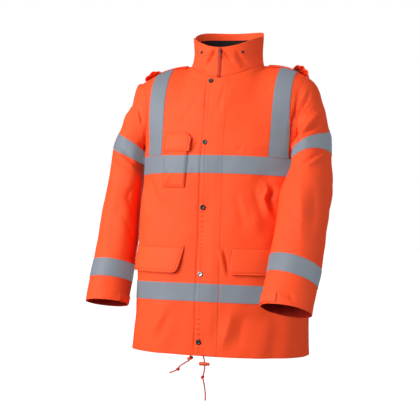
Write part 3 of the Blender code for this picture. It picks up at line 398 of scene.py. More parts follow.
def tubeAlong(name, points, radii, finish, sides=12, nodes=(), closed=False):
    # a tube swept along points, with UV in metres round and along it
    points = np.asarray(points, float)
    ways = unit(np.gradient(points, axis=0))
    beside = unit(np.cross(ways[0], (0.31, 0.2, 0.93)))
    shape = bmesh.new()
    bmesh.ops.create_grid(shape, x_segments=sides, y_segments=len(points) - 1, size=1)
    shape.verts.ensure_lookup_table()
    radii = np.broadcast_to(radii, len(points))
    arc = arcAlong(points)
    flat = []
    for row, (place, way, radius) in enumerate(zip(points, ways, radii)):
        beside = unit(beside - way * np.dot(beside, way))
        other = np.cross(way, beside)
        for column in range(sides + 1):
            angle = 2 * math.pi * column / sides
            out = math.cos(angle) * beside + math.sin(angle) * other
            shape.verts[row * (sides + 1) + column].co = place + radius * out
            flat.append((radius * angle, arc[row]))
    mapFlat(shape, flat)
    bmesh.ops.remove_doubles(shape, verts=shape.verts, dist=1e-7)
    if not closed:
        fillEnds(shape, sides)
    bmesh.ops.recalc_face_normals(shape, faces=shape.faces)
    return adopt(linkPiece(name, shape, finish), nodes)


# The hem's cords and their knots

cords = dict(
    radius=0.0020, knot=0.0042, knotAt=6,
    routes={
        wearerRight: (
            (-0.0462, -0.1460, -0.8140), (-0.0462, -0.1460, -0.8262), (-0.0466, -0.1472, -0.8340),
            (-0.0490, -0.1500, -0.8405), (-0.0600, -0.1510, -0.8470), (-0.0730, -0.1520, -0.8560),
            (-0.0794, -0.1525, -0.8655), (-0.0900, -0.1530, -0.8720), (-0.1032, -0.1535, -0.8775),
        ),
        wearerLeft: (
            (-0.0100, -0.1466, -0.8140), (-0.0082, -0.1466, -0.8262), (-0.0045, -0.1485, -0.8370),
            (-0.0030, -0.1505, -0.8470), (-0.0022, -0.1510, -0.8580), (-0.0043, -0.1515, -0.8740),
            (-0.0072, -0.1520, -0.8836), (-0.0040, -0.1520, -0.8950), (0.0012, -0.1515, -0.9230),
            (0.0022, -0.1510, -0.9480),
        ),
    },
)


def smoothRoute(places, step):
    places = np.array(places)
    keys = np.arange(len(places))
    fine = np.linspace(0, keys[-1], 60 * len(places))
    line = np.stack([smoothCurve(keys, places[:, axis], fine) for axis in range(3)], axis=1)
    arc = arcAlong(line)
    steps = np.linspace(0, arc[-1], max(int(arc[-1] / step), 4) + 1)
    return pointsAt(steps, arc, line), arc[-1]


def makeKnot(name, place, way, size, finish):
    # an overhand knot pulled tight round the cord
    way = unit(way)
    beside = unit(np.cross(way, (0.2, 1, 0.1)))
    other = np.cross(way, beside)
    turns = np.linspace(0, 2 * math.pi, 61)
    ring = size * (0.62 + 0.30 * np.cos(3 * turns))
    points = (place + np.outer(ring * np.cos(2 * turns), beside) + np.outer(ring * np.sin(2 * turns), other)
              + np.outer(0.62 * size * np.sin(3 * turns), way))
    return tubeAlong(name, points, cords["radius"] * 0.82, finish, sides=10, closed=True)


def makeCords():
    for side, route in cords["routes"].items():
        name = sideName[side]
        points, length = smoothRoute(route, 0.0022)
        knotPlace = np.array(route[cords["knotAt"]])
        near = bell(np.linalg.norm(points - knotPlace, axis=1) / 0.0030)
        frayed = 1 + 0.12 * smoothStep((np.arange(len(points)) - len(points) + 4) / 3)
        radii = cords["radius"] * (1 + 0.35 * near) * frayed
        cord = tubeAlong(f"hemCord_{name}", points, radii, "drawCord", nodes=[f"cord_{name}"])
        way = np.array(route[cords["knotAt"] + 1]) - np.array(route[cords["knotAt"] - 1])
        knot = makeKnot(f"hemKnot_{name}", knotPlace, way, cords["knot"], "drawCord")


makeCords()
print("cords made")

# The body's surface

bodyShape = dict(
    hemZ=-0.826, underarmZ=-0.250, neckZ={frontFace: -0.040, backFace: 0.016}, neckHalfWidth=0.106,
    ringZ=(-0.83, -0.74, -0.62, -0.52, -0.42, -0.33, -0.25),
    halfWidth=(0.260, 0.255, 0.251, 0.251, 0.247, 0.240, 0.236),
    squareness=(2.4, 2.4, 2.45, 2.5, 2.55, 2.6, 2.6),
    lineZ=(-0.83, -0.65, -0.45, -0.25, -0.16, -0.09, -0.04, 0.016),
    lines={
        frontFace: (0.151, 0.152, 0.147, 0.142, 0.133, 0.115, 0.094, 0.080),
        backFace: (0.147, 0.141, 0.134, 0.131, 0.134, 0.124, 0.110, 0.092),
    },
    tips={wearerRight: (0.247, 0.004, -0.044), wearerLeft: (0.240, -0.006, -0.036)},
    shoulderRise=0.012,
    sagZ=(-0.83, -0.674, -0.624, -0.40, -0.316, -0.266, -0.250),
    sag={
        wearerRight: (0.003, 0.009, 0.009, 0.005, 0.011, 0.010, 0.000),
        wearerLeft: (-0.003, 0.004, 0.004, 0.004, 0.011, 0.010, 0.000),
    },
    armholes={
        (wearerRight, frontFace): (0.086, 0.024), (wearerRight, backFace): (0.088, 0.014),
        (wearerLeft, frontFace): (0.088, 0.014), (wearerLeft, backFace): (0.090, 0.018),
    },
    gap=0.0003, cloth=0.0018, zipHalf=0.0055,
    quarter=0.32,  # a row's length from the zip to the side
    heights=(0, 0.576, 0.82),  # the hem, the underarm and the neck, above the hem
)
# soft ridges and troughs in mm: start, end, width, height
bodyFolds = (
    ((215, -85, -270), (120, -145, -350), 20, -4),
    ((205, -100, -340), (135, -145, -450), 24, 4),
    ((235, -50, -420), (190, -120, -510), 22, -4),
    ((-215, -85, -330), (-150, -140, -420), 24, -4),
    ((-140, -150, -700), (-150, -150, -826), 34, 4),
    ((190, -120, -680), (185, -120, -826), 32, -5),
    ((-215, 85, -280), (-100, 135, -400), 24, -5),
    ((215, 85, -280), (100, 135, -390), 24, -5),
    ((150, 130, -420), (-120, 135, -470), 26, -4),
    ((110, 140, -640), (120, 140, -826), 36, -5),
    ((-90, 140, -660), (-100, 140, -826), 36, -5),
    ((106, -68, -62), (108, -106, -135), 26, 4),
)


def foldShift(points, folds):
    moved = np.zeros(len(points))
    for start, end, width, height in folds:
        start, way, width = np.array(start) / 1000, (np.array(end) - start) / 1000, width / 1000
        along = np.clip((points - start) @ way / np.dot(way, way), 0, 1)
        away = np.linalg.norm(points - start - along[:, None] * way, axis=1)
        moved += np.where(away < 3 * width, height / 1000 * bell(away / width), 0)
    return moved


def ringShape(z):
    return (smoothCurve(bodyShape["ringZ"], bodyShape[key], z) for key in ("halfWidth", "squareness"))


def depthAt(face, z):
    return smoothCurve(bodyShape["lineZ"], bodyShape["lines"][face], z)


def ringLine(face, z):
    halfWidth, squareness = ringShape(z)
    power, depth = 2 / squareness, depthAt(face, z)
    turn = np.linspace(0, math.pi / 2, 181)
    x, y = halfWidth * np.sin(turn) ** power, face * depth * np.cos(turn).clip(0) ** power
    arc = arcAlong(np.stack([x, y], axis=1))
    return arc / arc[-1], x, y


def ringPoints(side, face, across, z):
    arc, x, y = ringLine(face, z)
    x, y = np.interp(across, arc, x), np.interp(across, arc, y)
    return np.stack([side * x, y, np.full(len(across), z)], axis=1)


def centrePoint(face, z):
    return np.array([[0, face * depthAt(face, z), z]])


def neckPoints(side, face, turn):
    angle, middleZ = np.asarray(turn) * math.pi / 2, bodyShape["neckZ"][face]
    depth = abs(centrePoint(face, middleZ)[0, 1])
    return np.stack([side * bodyShape["neckHalfWidth"] * np.sin(angle), face * depth * np.cos(angle),
                     middleZ * (1 + np.cos(2 * angle)) / 2], axis=-1)


def shoulderTip(side):
    x, y, z = bodyShape["tips"][side]
    return np.array([[side * x, y, z]])


def topPoints(side, face, across):
    across = np.asarray(across, float)
    along = np.clip(2 * across - 1, 0, 1)[:, None]
    start = neckPoints(side, face, np.array([1.0]))
    rise = np.concatenate([0 * along, 0 * along, bodyShape["shoulderRise"] * np.sin(math.pi * along)], axis=1)
    shoulder = start + (shoulderTip(side) - start) * along + rise
    return np.where(across[:, None] <= 0.5, neckPoints(side, face, np.clip(2 * across, 0, 1)), shoulder)


def armholePoint(side, face, up):
    low, tip = ringPoints(side, face, np.array([1.0]), bodyShape["underarmZ"]), shoulderTip(side)
    reach, cutIn = bodyShape["armholes"][side, face]
    rise, swing = (1 - math.cos(math.pi * up)) / 2, max(math.sin(math.pi * up), 0)
    point = low + (tip - low) * rise
    return point + np.array([[-side * cutIn * swing**2, face * reach * swing**0.85, 0]])


def riseBetween(face, low, top, across, high):
    length = np.linalg.norm(top - low, axis=1, keepdims=True)
    lean = 0.9 - 0.6 * np.asarray(across, float)
    arrive = unit(np.stack([0 * lean, 0 * lean - face, lean], axis=1)) * length
    return curveBetween(high, low, length * np.array([[0, 0, 1]]), top, arrive)


def plainBodyRow(side, face, across, up):
    # up runs 0 to 1 from hem to underarm, then 1 to 2 up to the neck and shoulder
    hemZ, underarmZ = bodyShape["hemZ"], bodyShape["underarmZ"]
    if up <= 1:
        z = hemZ + (underarmZ - hemZ) * up
        points = ringPoints(side, face, across, z)
        points[:, 2] -= np.interp(z, bodyShape["sagZ"], bodyShape["sag"][side]) * across**2
        return points
    high = up - 1
    arc, _, y = ringLine(face, underarmZ)
    reach = abs(armholePoint(side, face, min(high, 0.5))[0, 1])
    widest = float(np.interp(reach, abs(y[::-1]), arc[::-1]))
    one = np.array([1.0])
    low = ringPoints(side, face, across * widest, underarmZ)
    points = riseBetween(face, low, topPoints(side, face, across), across, high)
    middle = centrePoint(face, underarmZ + (bodyShape["neckZ"][face] - underarmZ) * high)
    atMiddle = riseBetween(face, centrePoint(face, underarmZ), topPoints(side, face, 0 * one), 0 * one, high)
    atArm = riseBetween(face, ringPoints(side, face, widest * one, underarmZ), shoulderTip(side), one, high)
    share = smoothStep(across)[:, None]
    return points + (middle - atMiddle) * (1 - share) + (armholePoint(side, face, high) - atArm) * share


def outOfBody(points):
    return unit(points * (0.4, 1, 0) + 1e-9)


# The sleeves' surface

sleeveShape = dict(
    # rings from the upper tape's top edge to the cuff: x out, y, z, half width, half depth, tilt, dip
    table={
        wearerRight: (
            (0.275, 0.000, -0.212, 0.054, 0.080, 22, 0.028), (0.289, 0.003, -0.260, 0.055, 0.080, 20, 0.014),
            (0.300, 0.004, -0.335, 0.057, 0.078, 12, 0.004), (0.310, -0.005, -0.417, 0.057, 0.075, 8, 0),
            (0.314, -0.026, -0.498, 0.058, 0.071, 5, 0), (0.318, -0.051, -0.583, 0.061, 0.066, 2, 0),
            (0.321, -0.065, -0.632, 0.061, 0.062, 1, 0), (0.323, -0.074, -0.664, 0.061, 0.059, 1, 0),
            (0.325, -0.083, -0.697, 0.062, 0.056, 0, 0),
        ),
        wearerLeft: (
            (0.261, -0.034, -0.218, 0.052, 0.082, 22, 0.03), (0.268, -0.046, -0.266, 0.049, 0.084, 18, 0.016),
            (0.273, -0.080, -0.330, 0.056, 0.082, 8, 0.004), (0.270, -0.119, -0.398, 0.062, 0.078, -2, 0),
            (0.263, -0.158, -0.470, 0.068, 0.073, -8, 0), (0.256, -0.200, -0.556, 0.073, 0.064, -13, 0),
            (0.252, -0.222, -0.600, 0.072, 0.058, -13, 0), (0.249, -0.240, -0.640, 0.071, 0.053, -10, 0),
            (0.247, -0.257, -0.678, 0.070, 0.049, -6, 0),
        ),
    },
    armToBody=0.007, gather=0.0016, seed=23,
    # cloth that hangs over towards the body: row, turn, how far both reach, inwards, forwards
    bulges={
        wearerRight: ((3.0, 0.140, 2.20, 0.075, 0.005, 0.010), (0.5, 0.130, 1.20, 0.070, 0.004, 0.012)),
        wearerLeft: ((-0.45, 0.100, 0.40, 0.060, 0.013, 0.013), (0.6, 0.115, 0.85, 0.060, 0.011, 0.013),
                     (2.6, 0.060, 1.10, 0.090, 0.021, 0.002)),
    },
    folds={
        wearerRight: (
            ((-266, -40, -66), (-264, 30, -66), 20, 15),
            ((-288, -40, -104), (-288, 30, -104), 30, -20),
            ((-318, -40, -180), (-318, 30, -180), 36, -7),
            ((-340, -60, -270), (-260, -80, -320), 16, -4),
            ((-360, 20, -400), (-300, -80, -430), 18, -4),
            ((-350, 60, -450), (-280, 70, -500), 18, -4),
        ),
        wearerLeft: (
            ((290, -40, -90), (290, 30, -90), 26, -10),
            ((262, -80, -95), (235, -100, -160), 14, -5),
            ((290, -100, -120), (250, -110, -190), 14, 3),
            ((330, -140, -370), (240, -190, -420), 18, -4),
            ((330, -100, -420), (250, -80, -470), 18, -4),
        ),
    },
)


def sleeveRing(side, row):
    table = np.array(sleeveShape["table"][side])
    rows = np.arange(len(table))
    x, y, z, halfWidth, halfDepth, tilt, dip = (float(smoothCurve(rows, column, row)) for column in table.T)
    ends = max(row - 0.5, 0), min(row + 0.5, rows[-1])
    yRate, zRate = (np.diff(smoothCurve(rows, table[:, k], ends))[0] for k in (1, 2))
    down = unit([side * math.tan(math.radians(tilt)), -yRate / zRate, -1])
    front = unit(np.array([0, -1, 0]) - down * np.dot([0, -1, 0], down))
    out = unit(np.array([side, 0, 0]) - down * side * down[0] - front * side * front[0])
    return np.array([side * x, y, z]), out, front, down, halfWidth, halfDepth, dip


def ringOfSleeve(side, row, turns):
    centre, out, front, down, halfWidth, halfDepth, dip = sleeveRing(side, row)
    angle = 2 * math.pi * turns
    lowered = dip * ((1 + np.cos(angle)) / 2) ** 4
    return (centre - np.outer(halfWidth * np.cos(angle), out) + np.outer(halfDepth * np.sin(angle), front)
            + np.outer(lowered, down))


def clearOfBody(points, side):
    z = np.clip(points[:, 2], bodyShape["hemZ"], bodyShape["underarmZ"])
    halfWidth, squareness = ringShape(z)
    depth = np.where(points[:, 1] < 0, depthAt(frontFace, z), depthAt(backFace, z))
    share = np.minimum(abs(points[:, 1] / depth), 1)
    margin = sleeveShape["armToBody"] * np.maximum(0.45, smoothStep((bodyShape["underarmZ"] - z) / 0.02))
    least = halfWidth * (1 - share**squareness) ** (1 / squareness) + margin
    push = (points[:, 2] < bodyShape["underarmZ"] + 0.015) & (side * points[:, 0] < least) & (share < 1)
    points = points.copy()
    points[push, 0] = (side * least)[push]
    return points


def plainSleeveRow(side, row, turns, armhole):
    if row >= 0:
        points = ringOfSleeve(side, row, turns)
    else:
        step = row + 1
        end = ringOfSleeve(side, 0, turns)
        down = sleeveRing(side, 0)[3]
        length = np.linalg.norm(end - armhole, axis=1, keepdims=True)
        under = (1 + np.cos(2 * math.pi * turns)) / 2
        leave = unit(np.stack([0 * under + side * 0.85, 0 * under, -0.5 - 0.3 * under], axis=1)) * length
        points = curveBetween(step, armhole, leave, end, down * length)
    fade = smoothStep((row + 1) * 4)
    for bulgeRow, bulgeTurn, rowReach, turnReach, inwards, forwards in sleeveShape["bulges"][side]:
        gap = (turns - bulgeTurn + 0.5) % 1 - 0.5
        share = fade * bell(np.hypot((row - bulgeRow) / rowReach, gap / turnReach))
        points = points + share[:, None] * (-side * inwards, -forwards, 0)
    return clearOfBody(points, side)


def foldSleeve(side, rows, turns, armhole):
    points = np.array([plainSleeveRow(side, row, turns, armhole) for row in rows])
    out = unit(points - np.array([sleeveRing(side, max(row, 0))[0] for row in rows])[:, None, :])
    flat = points.reshape(-1, 3)
    shift = (foldShift(flat, sleeveShape["folds"][side]) + unevenShift(flat, sleeveShape["seed"])
             + gridCreases(points, out, sleeveCreases[side])).reshape(points.shape[:2])
    angle = 2 * math.pi * turns
    gather = np.sin(9 * angle + 1.3) * 0.6 + np.sin(14 * angle + side) * 0.4 + np.sin(5 * angle) * 0.4
    nearCuff = smoothStep((rows - 7.3) / 0.7)[:, None]
    shift += gather * sleeveShape["gather"] * nearCuff * (0.45 + 0.55 * np.cos(angle))
    return points + out * (shift * smoothStep((rows + 1) * 5)[:, None])[..., None]


# Fine creases laid over the folds: the places each runs through, its width and its height, in mm

bodyCreases = (
    (((-40, -108, -75), (-66, -119, -119), (-95, -121, -164), (-116, -122, -193)), 10, -3.8),
    (((26, -100, -51), (16, -122, -105), (7, -133, -160)), 9, -3),
    (((-37, -140, -226), (-62, -140, -254)), 6, -3.4),
    (((-45, -143, -300), (-60, -143, -330)), 7, -1.6),
    (((225, -80, -81), (233, -85, -104), (227, -91, -140), (216, -92, -163), (211, -88, -204),
      (208, -84, -246)), 6.5, -10),
    (((141, -128, -332), (156, -126, -357), (149, -130, -382), (158, -129, -404),
      (176, -121, -440)), 4.8, 5.6),
    (((160, -122, -337), (172, -121, -364), (165, -125, -384), (173, -122, -406),
      (184, -117, -430)), 8.5, -11),
    (((128, -133, -340), (127, -134, -374), (142, -134, -415), (156, -129, -452)), 8.5, -4),
    (((83, -142, -361), (95, -141, -400), (110, -140, -450)), 8, 2.8),
    (((70, -144, -370), (85, -143, -428), (101, -142, -480)), 10, -2),
    (((95, -140, -355), (115, -137, -416), (136, -136, -475)), 9, 2.2),
    (((200, -105, -420), (205, -100, -480), (198, -105, -540)), 11, 4),
    (((-122, -142, -700), (-146, -137, -741), (-172, -127, -790)), 11, 4.2),
    (((-100, -145, -690), (-128, -141, -745), (-140, -138, -800)), 12, -2.4),
    (((74, -150, -684), (60, -151, -750), (40, -151, -815)), 15, 5.2),
    (((112, -148, -690), (100, -150, -750), (88, -150, -826)), 26, -4),
    (((176, -136, -690), (176, -136, -760), (168, -138, -826)), 22, 2.6),
    (((40, -148, -521), (51, -149, -562), (64, -149, -606)), 4.4, -6.2),
    (((29, -148, -524), (40, -148, -570), (50, -149, -610)), 5, 2.2),
    (((-215, -85, -300), (-190, -115, -360), (-160, -133, -420)), 10, -4),
    (((-230, -70, -330), (-214, -96, -400), (-190, -118, -470)), 11, 3.4),
    (((-236, -60, -450), (-222, -85, -500), (-205, -105, -560)), 12, -3.2),
    (((68, -141, -258), (86, -139, -242)), 6, -2.2),
    (((94, -138, -262), (104, -136, -240)), 5, -2),
    (((-143, -57, -36), (-118, -75, -70)), 8, -1.6),
    (((115, -56, -40), (150, -90, -85)), 8, -1.6),
    (((-228, 80, -270), (-180, 115, -320), (-110, 132, -380)), 10, -4.4),
    (((-236, 66, -310), (-200, 104, -375), (-150, 124, -440)), 10, 3.6),
    (((226, 82, -268), (170, 118, -312), (100, 132, -350)), 9, -4.2),
    (((236, 64, -320), (205, 100, -400), (168, 118, -480)), 11, 3.8),
    (((60, 133, -120), (30, 135, -180), (20, 134, -250)), 12, -2.2),
    (((-80, 128, -110), (-60, 134, -170), (-66, 134, -240)), 11, -2.4),
    (((180, 118, -440), (60, 134, -470), (-70, 134, -455)), 12, -3.6),
    (((-190, 115, -470), (-100, 132, -500), (10, 136, -505)), 10, 3),
    (((130, 134, -520), (80, 138, -560), (60, 140, -612)), 11, 3),
    (((-120, 138, -690), (-128, 140, -760), (-115, 142, -826)), 13, -4.2),
    (((-40, 142, -690), (-30, 144, -760), (-38, 146, -826)), 14, 3.4),
    (((50, 142, -690), (70, 143, -750), (74, 144, -826)), 12, -3.6),
    (((150, 134, -690), (160, 134, -760), (176, 130, -826)), 13, 4),
    (((240, 30, -480), (246, 20, -560), (240, 40, -615)), 12, -3.6),
    (((-240, 30, -500), (-247, 10, -560), (-244, 30, -612)), 12, -3.4),
)
sleeveCreases = {
    wearerRight: (
        (((-308, -70, -248), (-281, -74, -269), (-261, -59, -291), (-246, -28, -309)), 5, -8.5),
        (((-330, -50, -262), (-300, -76, -290), (-262, -62, -325)), 8, 4),
        (((-336, -44, -290), (-312, -70, -360), (-304, -82, -441)), 16, 3),
        (((-262, -52, -350), (-276, -66, -388), (-268, -56, -425)), 8, -4),
        (((-290, -88, -430), (-268, -76, -470), (-262, -60, -520)), 9, -3.4),
        (((-355, -60, -420), (-330, -92, -480), (-318, -108, -560)), 12, 3),
        (((-244, -78, -126), (-235, -83, -153), (-229, -81, -182)), 4.5, -6),
        (((-285, -58, -85), (-272, -74, -130), (-262, -82, -180)), 9, 3.6),
        (((-300, -45, -120), (-300, -60, -170), (-286, -78, -205)), 8, -3.4),
        (((-360, 20, -330), (-350, 55, -390), (-320, 70, -440)), 11, -4),
        (((-372, 0, -430), (-360, 34, -480), (-330, 45, -520)), 11, 3.8),
        (((-300, 75, -120), (-282, 88, -170), (-272, 88, -215)), 9, -4.4),
        (((-335, 60, -190), (-310, 80, -230), (-290, 84, -290)), 10, 3),
        (((-300, 20, -610), (-330, 0, -640), (-368, -40, -655)), 8, -2.4),
    ),
    wearerLeft: (
        (((259, -51, -72), (249, -80, -103), (232, -90, -132), (219, -91, -158)), 4.2, -9),
        (((248, -62, -75), (243, -80, -100), (233, -89, -125)), 5, 5),
        (((290, -46, -130), (271, -97, -166), (245, -112, -200)), 6.5, 5.2),
        (((300, -60, -166), (270, -106, -190), (238, -109, -212)), 5, -5.6),
        (((280, -70, -105), (262, -88, -140), (246, -96, -172)), 10, -3.4),
        (((305, -89, -246), (277, -140, -273), (247, -146, -292)), 5, -6.2),
        (((314, -60, -249), (292, -133, -277), (257, -153, -302)), 6.5, 5),
        (((257, -165, -310), (267, -199, -386), (274, -224, -444), (277, -247, -515)), 14, 5),
        (((290, -171, -331), (304, -194, -398), (305, -224, -478)), 15, -3),
        (((236, -196, -400), (262, -206, -440), (290, -214, -455)), 8, -2.6),
        (((226, -284, -628), (250, -297, -645), (291, -290, -664)), 7, 3),
        (((262, -296, -625), (276, -300, -650)), 5, -2.6),
        (((330, -60, -330), (322, -40, -400), (290, -60, -470)), 11, -4.6),
        (((326, -90, -430), (300, -100, -500), (262, -120, -540)), 11, 4),
        (((300, 40, -150), (284, 48, -190), (262, 50, -220)), 9, -4.2),
        (((225, -120, -380), (215, -150, -440), (210, -190, -520)), 11, -4),
        (((318, -190, -560), (290, -172, -590), (240, -178, -600)), 9, -3),
    ),
}
collarCreases = (
    (((-10, -89, 42), (-25, -86, 15), (-50, -79, -18)), 5.2, -6.9),
    (((-22, -87, 42), (-34, -84, 24), (-50, -77, 6)), 5, 3.3),
    (((-26, -86, 23), (-42, -81, 18), (-60, -71, 13)), 3.4, -4.5),
    (((10, -89, 30), (22, -87, 16), (36, -83, 4)), 4, -5.1),
    (((44, -81, 36), (56, -74, 14), (76, -60, -6)), 7, -5.4),
    (((30, -85, 10), (46, -80, -4), (62, -73, -18)), 5.5, 3.6),
    (((-72, -62, 6), (-52, -78, -16), (-34, -86, -28)), 6, -4.5),
    (((60, 70, 40), (30, 84, 60), (-10, 86, 58)), 9, -5.1),
    (((-85, 40, 30), (-60, 68, 46), (-30, 84, 50)), 8, -4.8),
)


def laidOn(points, outs, creases):
    # each crease's line, smoothed, in short steps and brought onto the surface
    cloud, outs, laid = points.reshape(-1, 3), outs.reshape(-1, 3), []
    for places, width, height in creases:
        places = np.array(places) / 1000
        keys, steps = np.arange(len(places)), np.linspace(0, len(places) - 1, 4 * (len(places) - 1) + 1)
        line = np.stack([smoothCurve(keys, places[:, axis], steps) for axis in range(3)], axis=1)
        for _ in range(2):
            nearest = [np.argmin(((cloud - place) ** 2).sum(axis=1)) for place in line]
            line = line + outs[nearest] * ((cloud[nearest] - line) * outs[nearest]).sum(axis=1, keepdims=True)
        laid.append((line, width / 1000, height / 1000))
    return laid


def creaseShift(points, creases):
    moved = np.zeros(len(points))
    for places, width, height in creases:
        reach = np.ptp(places, axis=0).max() + 4 * width + 0.03
        near = np.linalg.norm(points - places.mean(axis=0), axis=1) < reach
        if not near.any():
            continue
        close = points[near]
        away, share = np.full(len(close), 9.0), np.zeros(len(close))
        for number, (start, end) in enumerate(zip(places, places[1:])):
            along = np.clip((close - start) @ (end - start) / np.dot(end - start, end - start), 0, 1)
            gap = np.linalg.norm(close - start - along[:, None] * (end - start), axis=1)
            nearer = gap < away
            away[nearer], share[nearer] = gap[nearer], ((number + along) / (len(places) - 1))[nearer]
        taper = 0.10 + 0.90 * smoothStep(np.minimum(share, 1 - share) / 0.35)
        # a crisp crest or trough with a low lip on both sides
        blunt = 0.28 * width
        crest = np.exp((blunt - np.hypot(away, blunt)) / (0.8 * width))
        moved[near] += height * taper * (crest - 0.22 * bell((away - 2.0 * width) / width))
    return moved


def gridCreases(points, normals, creases):
    flat = points.reshape(-1, 3)
    return creaseShift(flat, laidOn(flat, normals.reshape(-1, 3), creases))


def softWaves(points, size, seed):
    # slow, smooth unevenness of about that size
    dice = np.random.RandomState(seed)
    total = np.zeros(len(points))
    for _ in range(7):
        way = unit(dice.normal(size=3)) * 2 * math.pi / (size * dice.uniform(0.7, 1.5))
        total += np.sin(points @ way + dice.uniform(0, 6.28))
    return total / 3.2


# each one's size and height
unevenness = dict(broad=(0.150, 0.0016), fine=(0.048, 0.0005), hemRipple=(0.060, 0.0010))


def unevenShift(points, seed):
    (broad, broadHigh), (fine, fineHigh) = unevenness["broad"], unevenness["fine"]
    return softWaves(points, broad, seed) * broadHigh + softWaves(points, fine, seed + 1) * fineHigh


puckers = dict(pitch=0.017, armhole=0.0009, sideSeam=0.0006, groove=0.0024, grooveAt=0.0325,
               grooveWide=0.0026, besideFlap=0.0008, flapPitch=0.013)


def heightUp(ups):
    return np.interp(ups, (0, 1, 2), bodyShape["heights"])[:, None]


def seamPuckers(ups, across, side, face):
    # short gathers that run out from the armhole and side seams, and the dip beside the storm flap
    rise, across = heightUp(ups), across[None, :]
    uneven = np.sin(rise * 37 + side * 2)
    wave = np.sin(2 * math.pi * rise / puckers["pitch"] + 2.2 * uneven) * (0.6 + 0.4 * np.sin(rise * 61))
    nearSeam = smoothStep((across - 0.86) / 0.14) * (1 - 0.5 * smoothStep((across - 0.97) / 0.03))
    shift = wave * nearSeam * np.where(ups > 1, puckers["armhole"], puckers["sideSeam"])[:, None]
    if side == wearerRight and face == frontFace:
        distance = across * bodyShape["quarter"] - puckers["grooveAt"] - 0.0006 * np.sin(rise * 55)
        shift = shift - puckers["groove"] * bell(distance / puckers["grooveWide"]) * smoothStep(rise / 0.03)
        gathers = np.sin(2 * math.pi * rise / puckers["flapPitch"] + 1.7 * uneven)
        gathers = gathers * smoothStep(0.5 + 0.9 * np.sin(rise * 23 + 0.5))
        shift = shift + puckers["besideFlap"] * gathers * bell((distance + 0.003) / 0.006)
    return shift


def roundChest(points, ups, across):
    # the chest rounds softly from the neck out to the shoulder
    share = 0.5 * (smoothStep((ups - 1.08) / 0.25) * smoothStep((1.97 - ups) / 0.12))[:, None, None]
    inner = across[1:-1]
    share = share * (smoothStep(inner / 0.15) * smoothStep((0.93 - inner) / 0.15))[None, :, None]
    for _ in range(90):
        points[:, 1:-1] += share * ((points[:, 2:] + points[:, :-2]) / 2 - points[:, 1:-1])


def evenSpans(*spans):
    # even places over each span in turn: start, end, how many
    return np.unique(np.concatenate([np.linspace(*span) for span in spans]))


def makeSkins():
    # fine tables of points for the four body quarters and the two sleeves
    across = evenSpans((0, 0.16, 25), (0.16, 1, 64))
    ups, rows = evenSpans((0, 1, 145), (1, 2, 81)), evenSpans((-1, 0, 43), (0, 8, 137))
    turns = np.linspace(0, 1, 121)
    quarters = {(side, face): np.array([plainBodyRow(side, face, across, up) for up in ups])
                for side in sideName for face in (frontFace, backFace)}
    for side in sideName:
        roundChest(quarters[side, frontFace], ups, across)
    cloud = np.concatenate([points.reshape(-1, 3) for points in quarters.values()])
    laid = laidOn(cloud, outOfBody(cloud), bodyCreases)
    rippleSize, rippleHigh = unevenness["hemRipple"]
    for (side, face), points in quarters.items():
        flat = points.reshape(-1, 3)
        folds = foldShift(flat, bodyFolds)
        nearHem = smoothStep((-0.74 - flat[:, 2]) / 0.08)
        shift = creaseShift(flat, laid) + unevenShift(flat, 11) + seamPuckers(ups, across, side, face).ravel()
        shift += softWaves(flat * (1, 1, 0.2), rippleSize, 5) * nearHem * rippleHigh
        quiet = 1 - smoothStep((flat[:, 2] + 0.10) / 0.08)  # even where the collar is sewn on
        flat += outOfBody(flat) * (folds + shift * quiet)[:, None]
        skins[side, face] = dict(points=points, rows=ups, columns=across)
    for side in sideName:
        armhole = np.array([spot(skins[side, frontFace if turn <= 0.5 else backFace],
                                 [1 + 2 * min(turn, 1 - turn)], [1.0])[0] for turn in turns])
        skins[side] = dict(points=foldSleeve(side, rows, turns, armhole), rows=rows, columns=turns)


def spot(skin, rows, columns):
    # points of a skin at any places, straight between its own
    grid = skin["points"]
    r = np.interp(rows, skin["rows"], np.arange(grid.shape[0]))
    c = np.interp(columns, skin["columns"], np.arange(grid.shape[1]))
    i, j = np.minimum(r.astype(int), grid.shape[0] - 2), np.minimum(c.astype(int), grid.shape[1] - 2)
    a, b = (r - i)[..., None], (c - j)[..., None]
    return (grid[i, j] * (1 - a) * (1 - b) + grid[i + 1, j] * a * (1 - b)
            + grid[i, j + 1] * (1 - a) * b + grid[i + 1, j + 1] * a * b)


def spots(skin, rows, columns):
    rows, columns = np.meshgrid(rows, columns, indexing="ij")
    return spot(skin, rows.ravel(), columns.ravel()).reshape(*rows.shape, 3)


def rowOf(z):
    return (z - bodyShape["hemZ"]) / (bodyShape["underarmZ"] - bodyShape["hemZ"])


def alongLine(line, distance=None, x=None):
    # places on a line across a panel, by distance from its start or by x
    key, value = (arcAlong(line), distance) if x is None else (abs(line[:, 0]), x)
    return pointsAt(value, key, line)


def onBody(side, face, up, **where):
    # at one row of a quarter
    skin = skins[side, face]
    return alongLine(spots(skin, [up], skin["columns"])[0], **where)


def onLevel(side, z, **where):
    # at one height of a front
    columns = skins[side, frontFace]["points"].transpose(1, 0, 2)
    return alongLine(np.array([pointsAt(z, column[:, 2], column) for column in columns]), **where)


skins = {}
makeSkins()
print("surfaces worked out")

# Fronts, back and sleeves


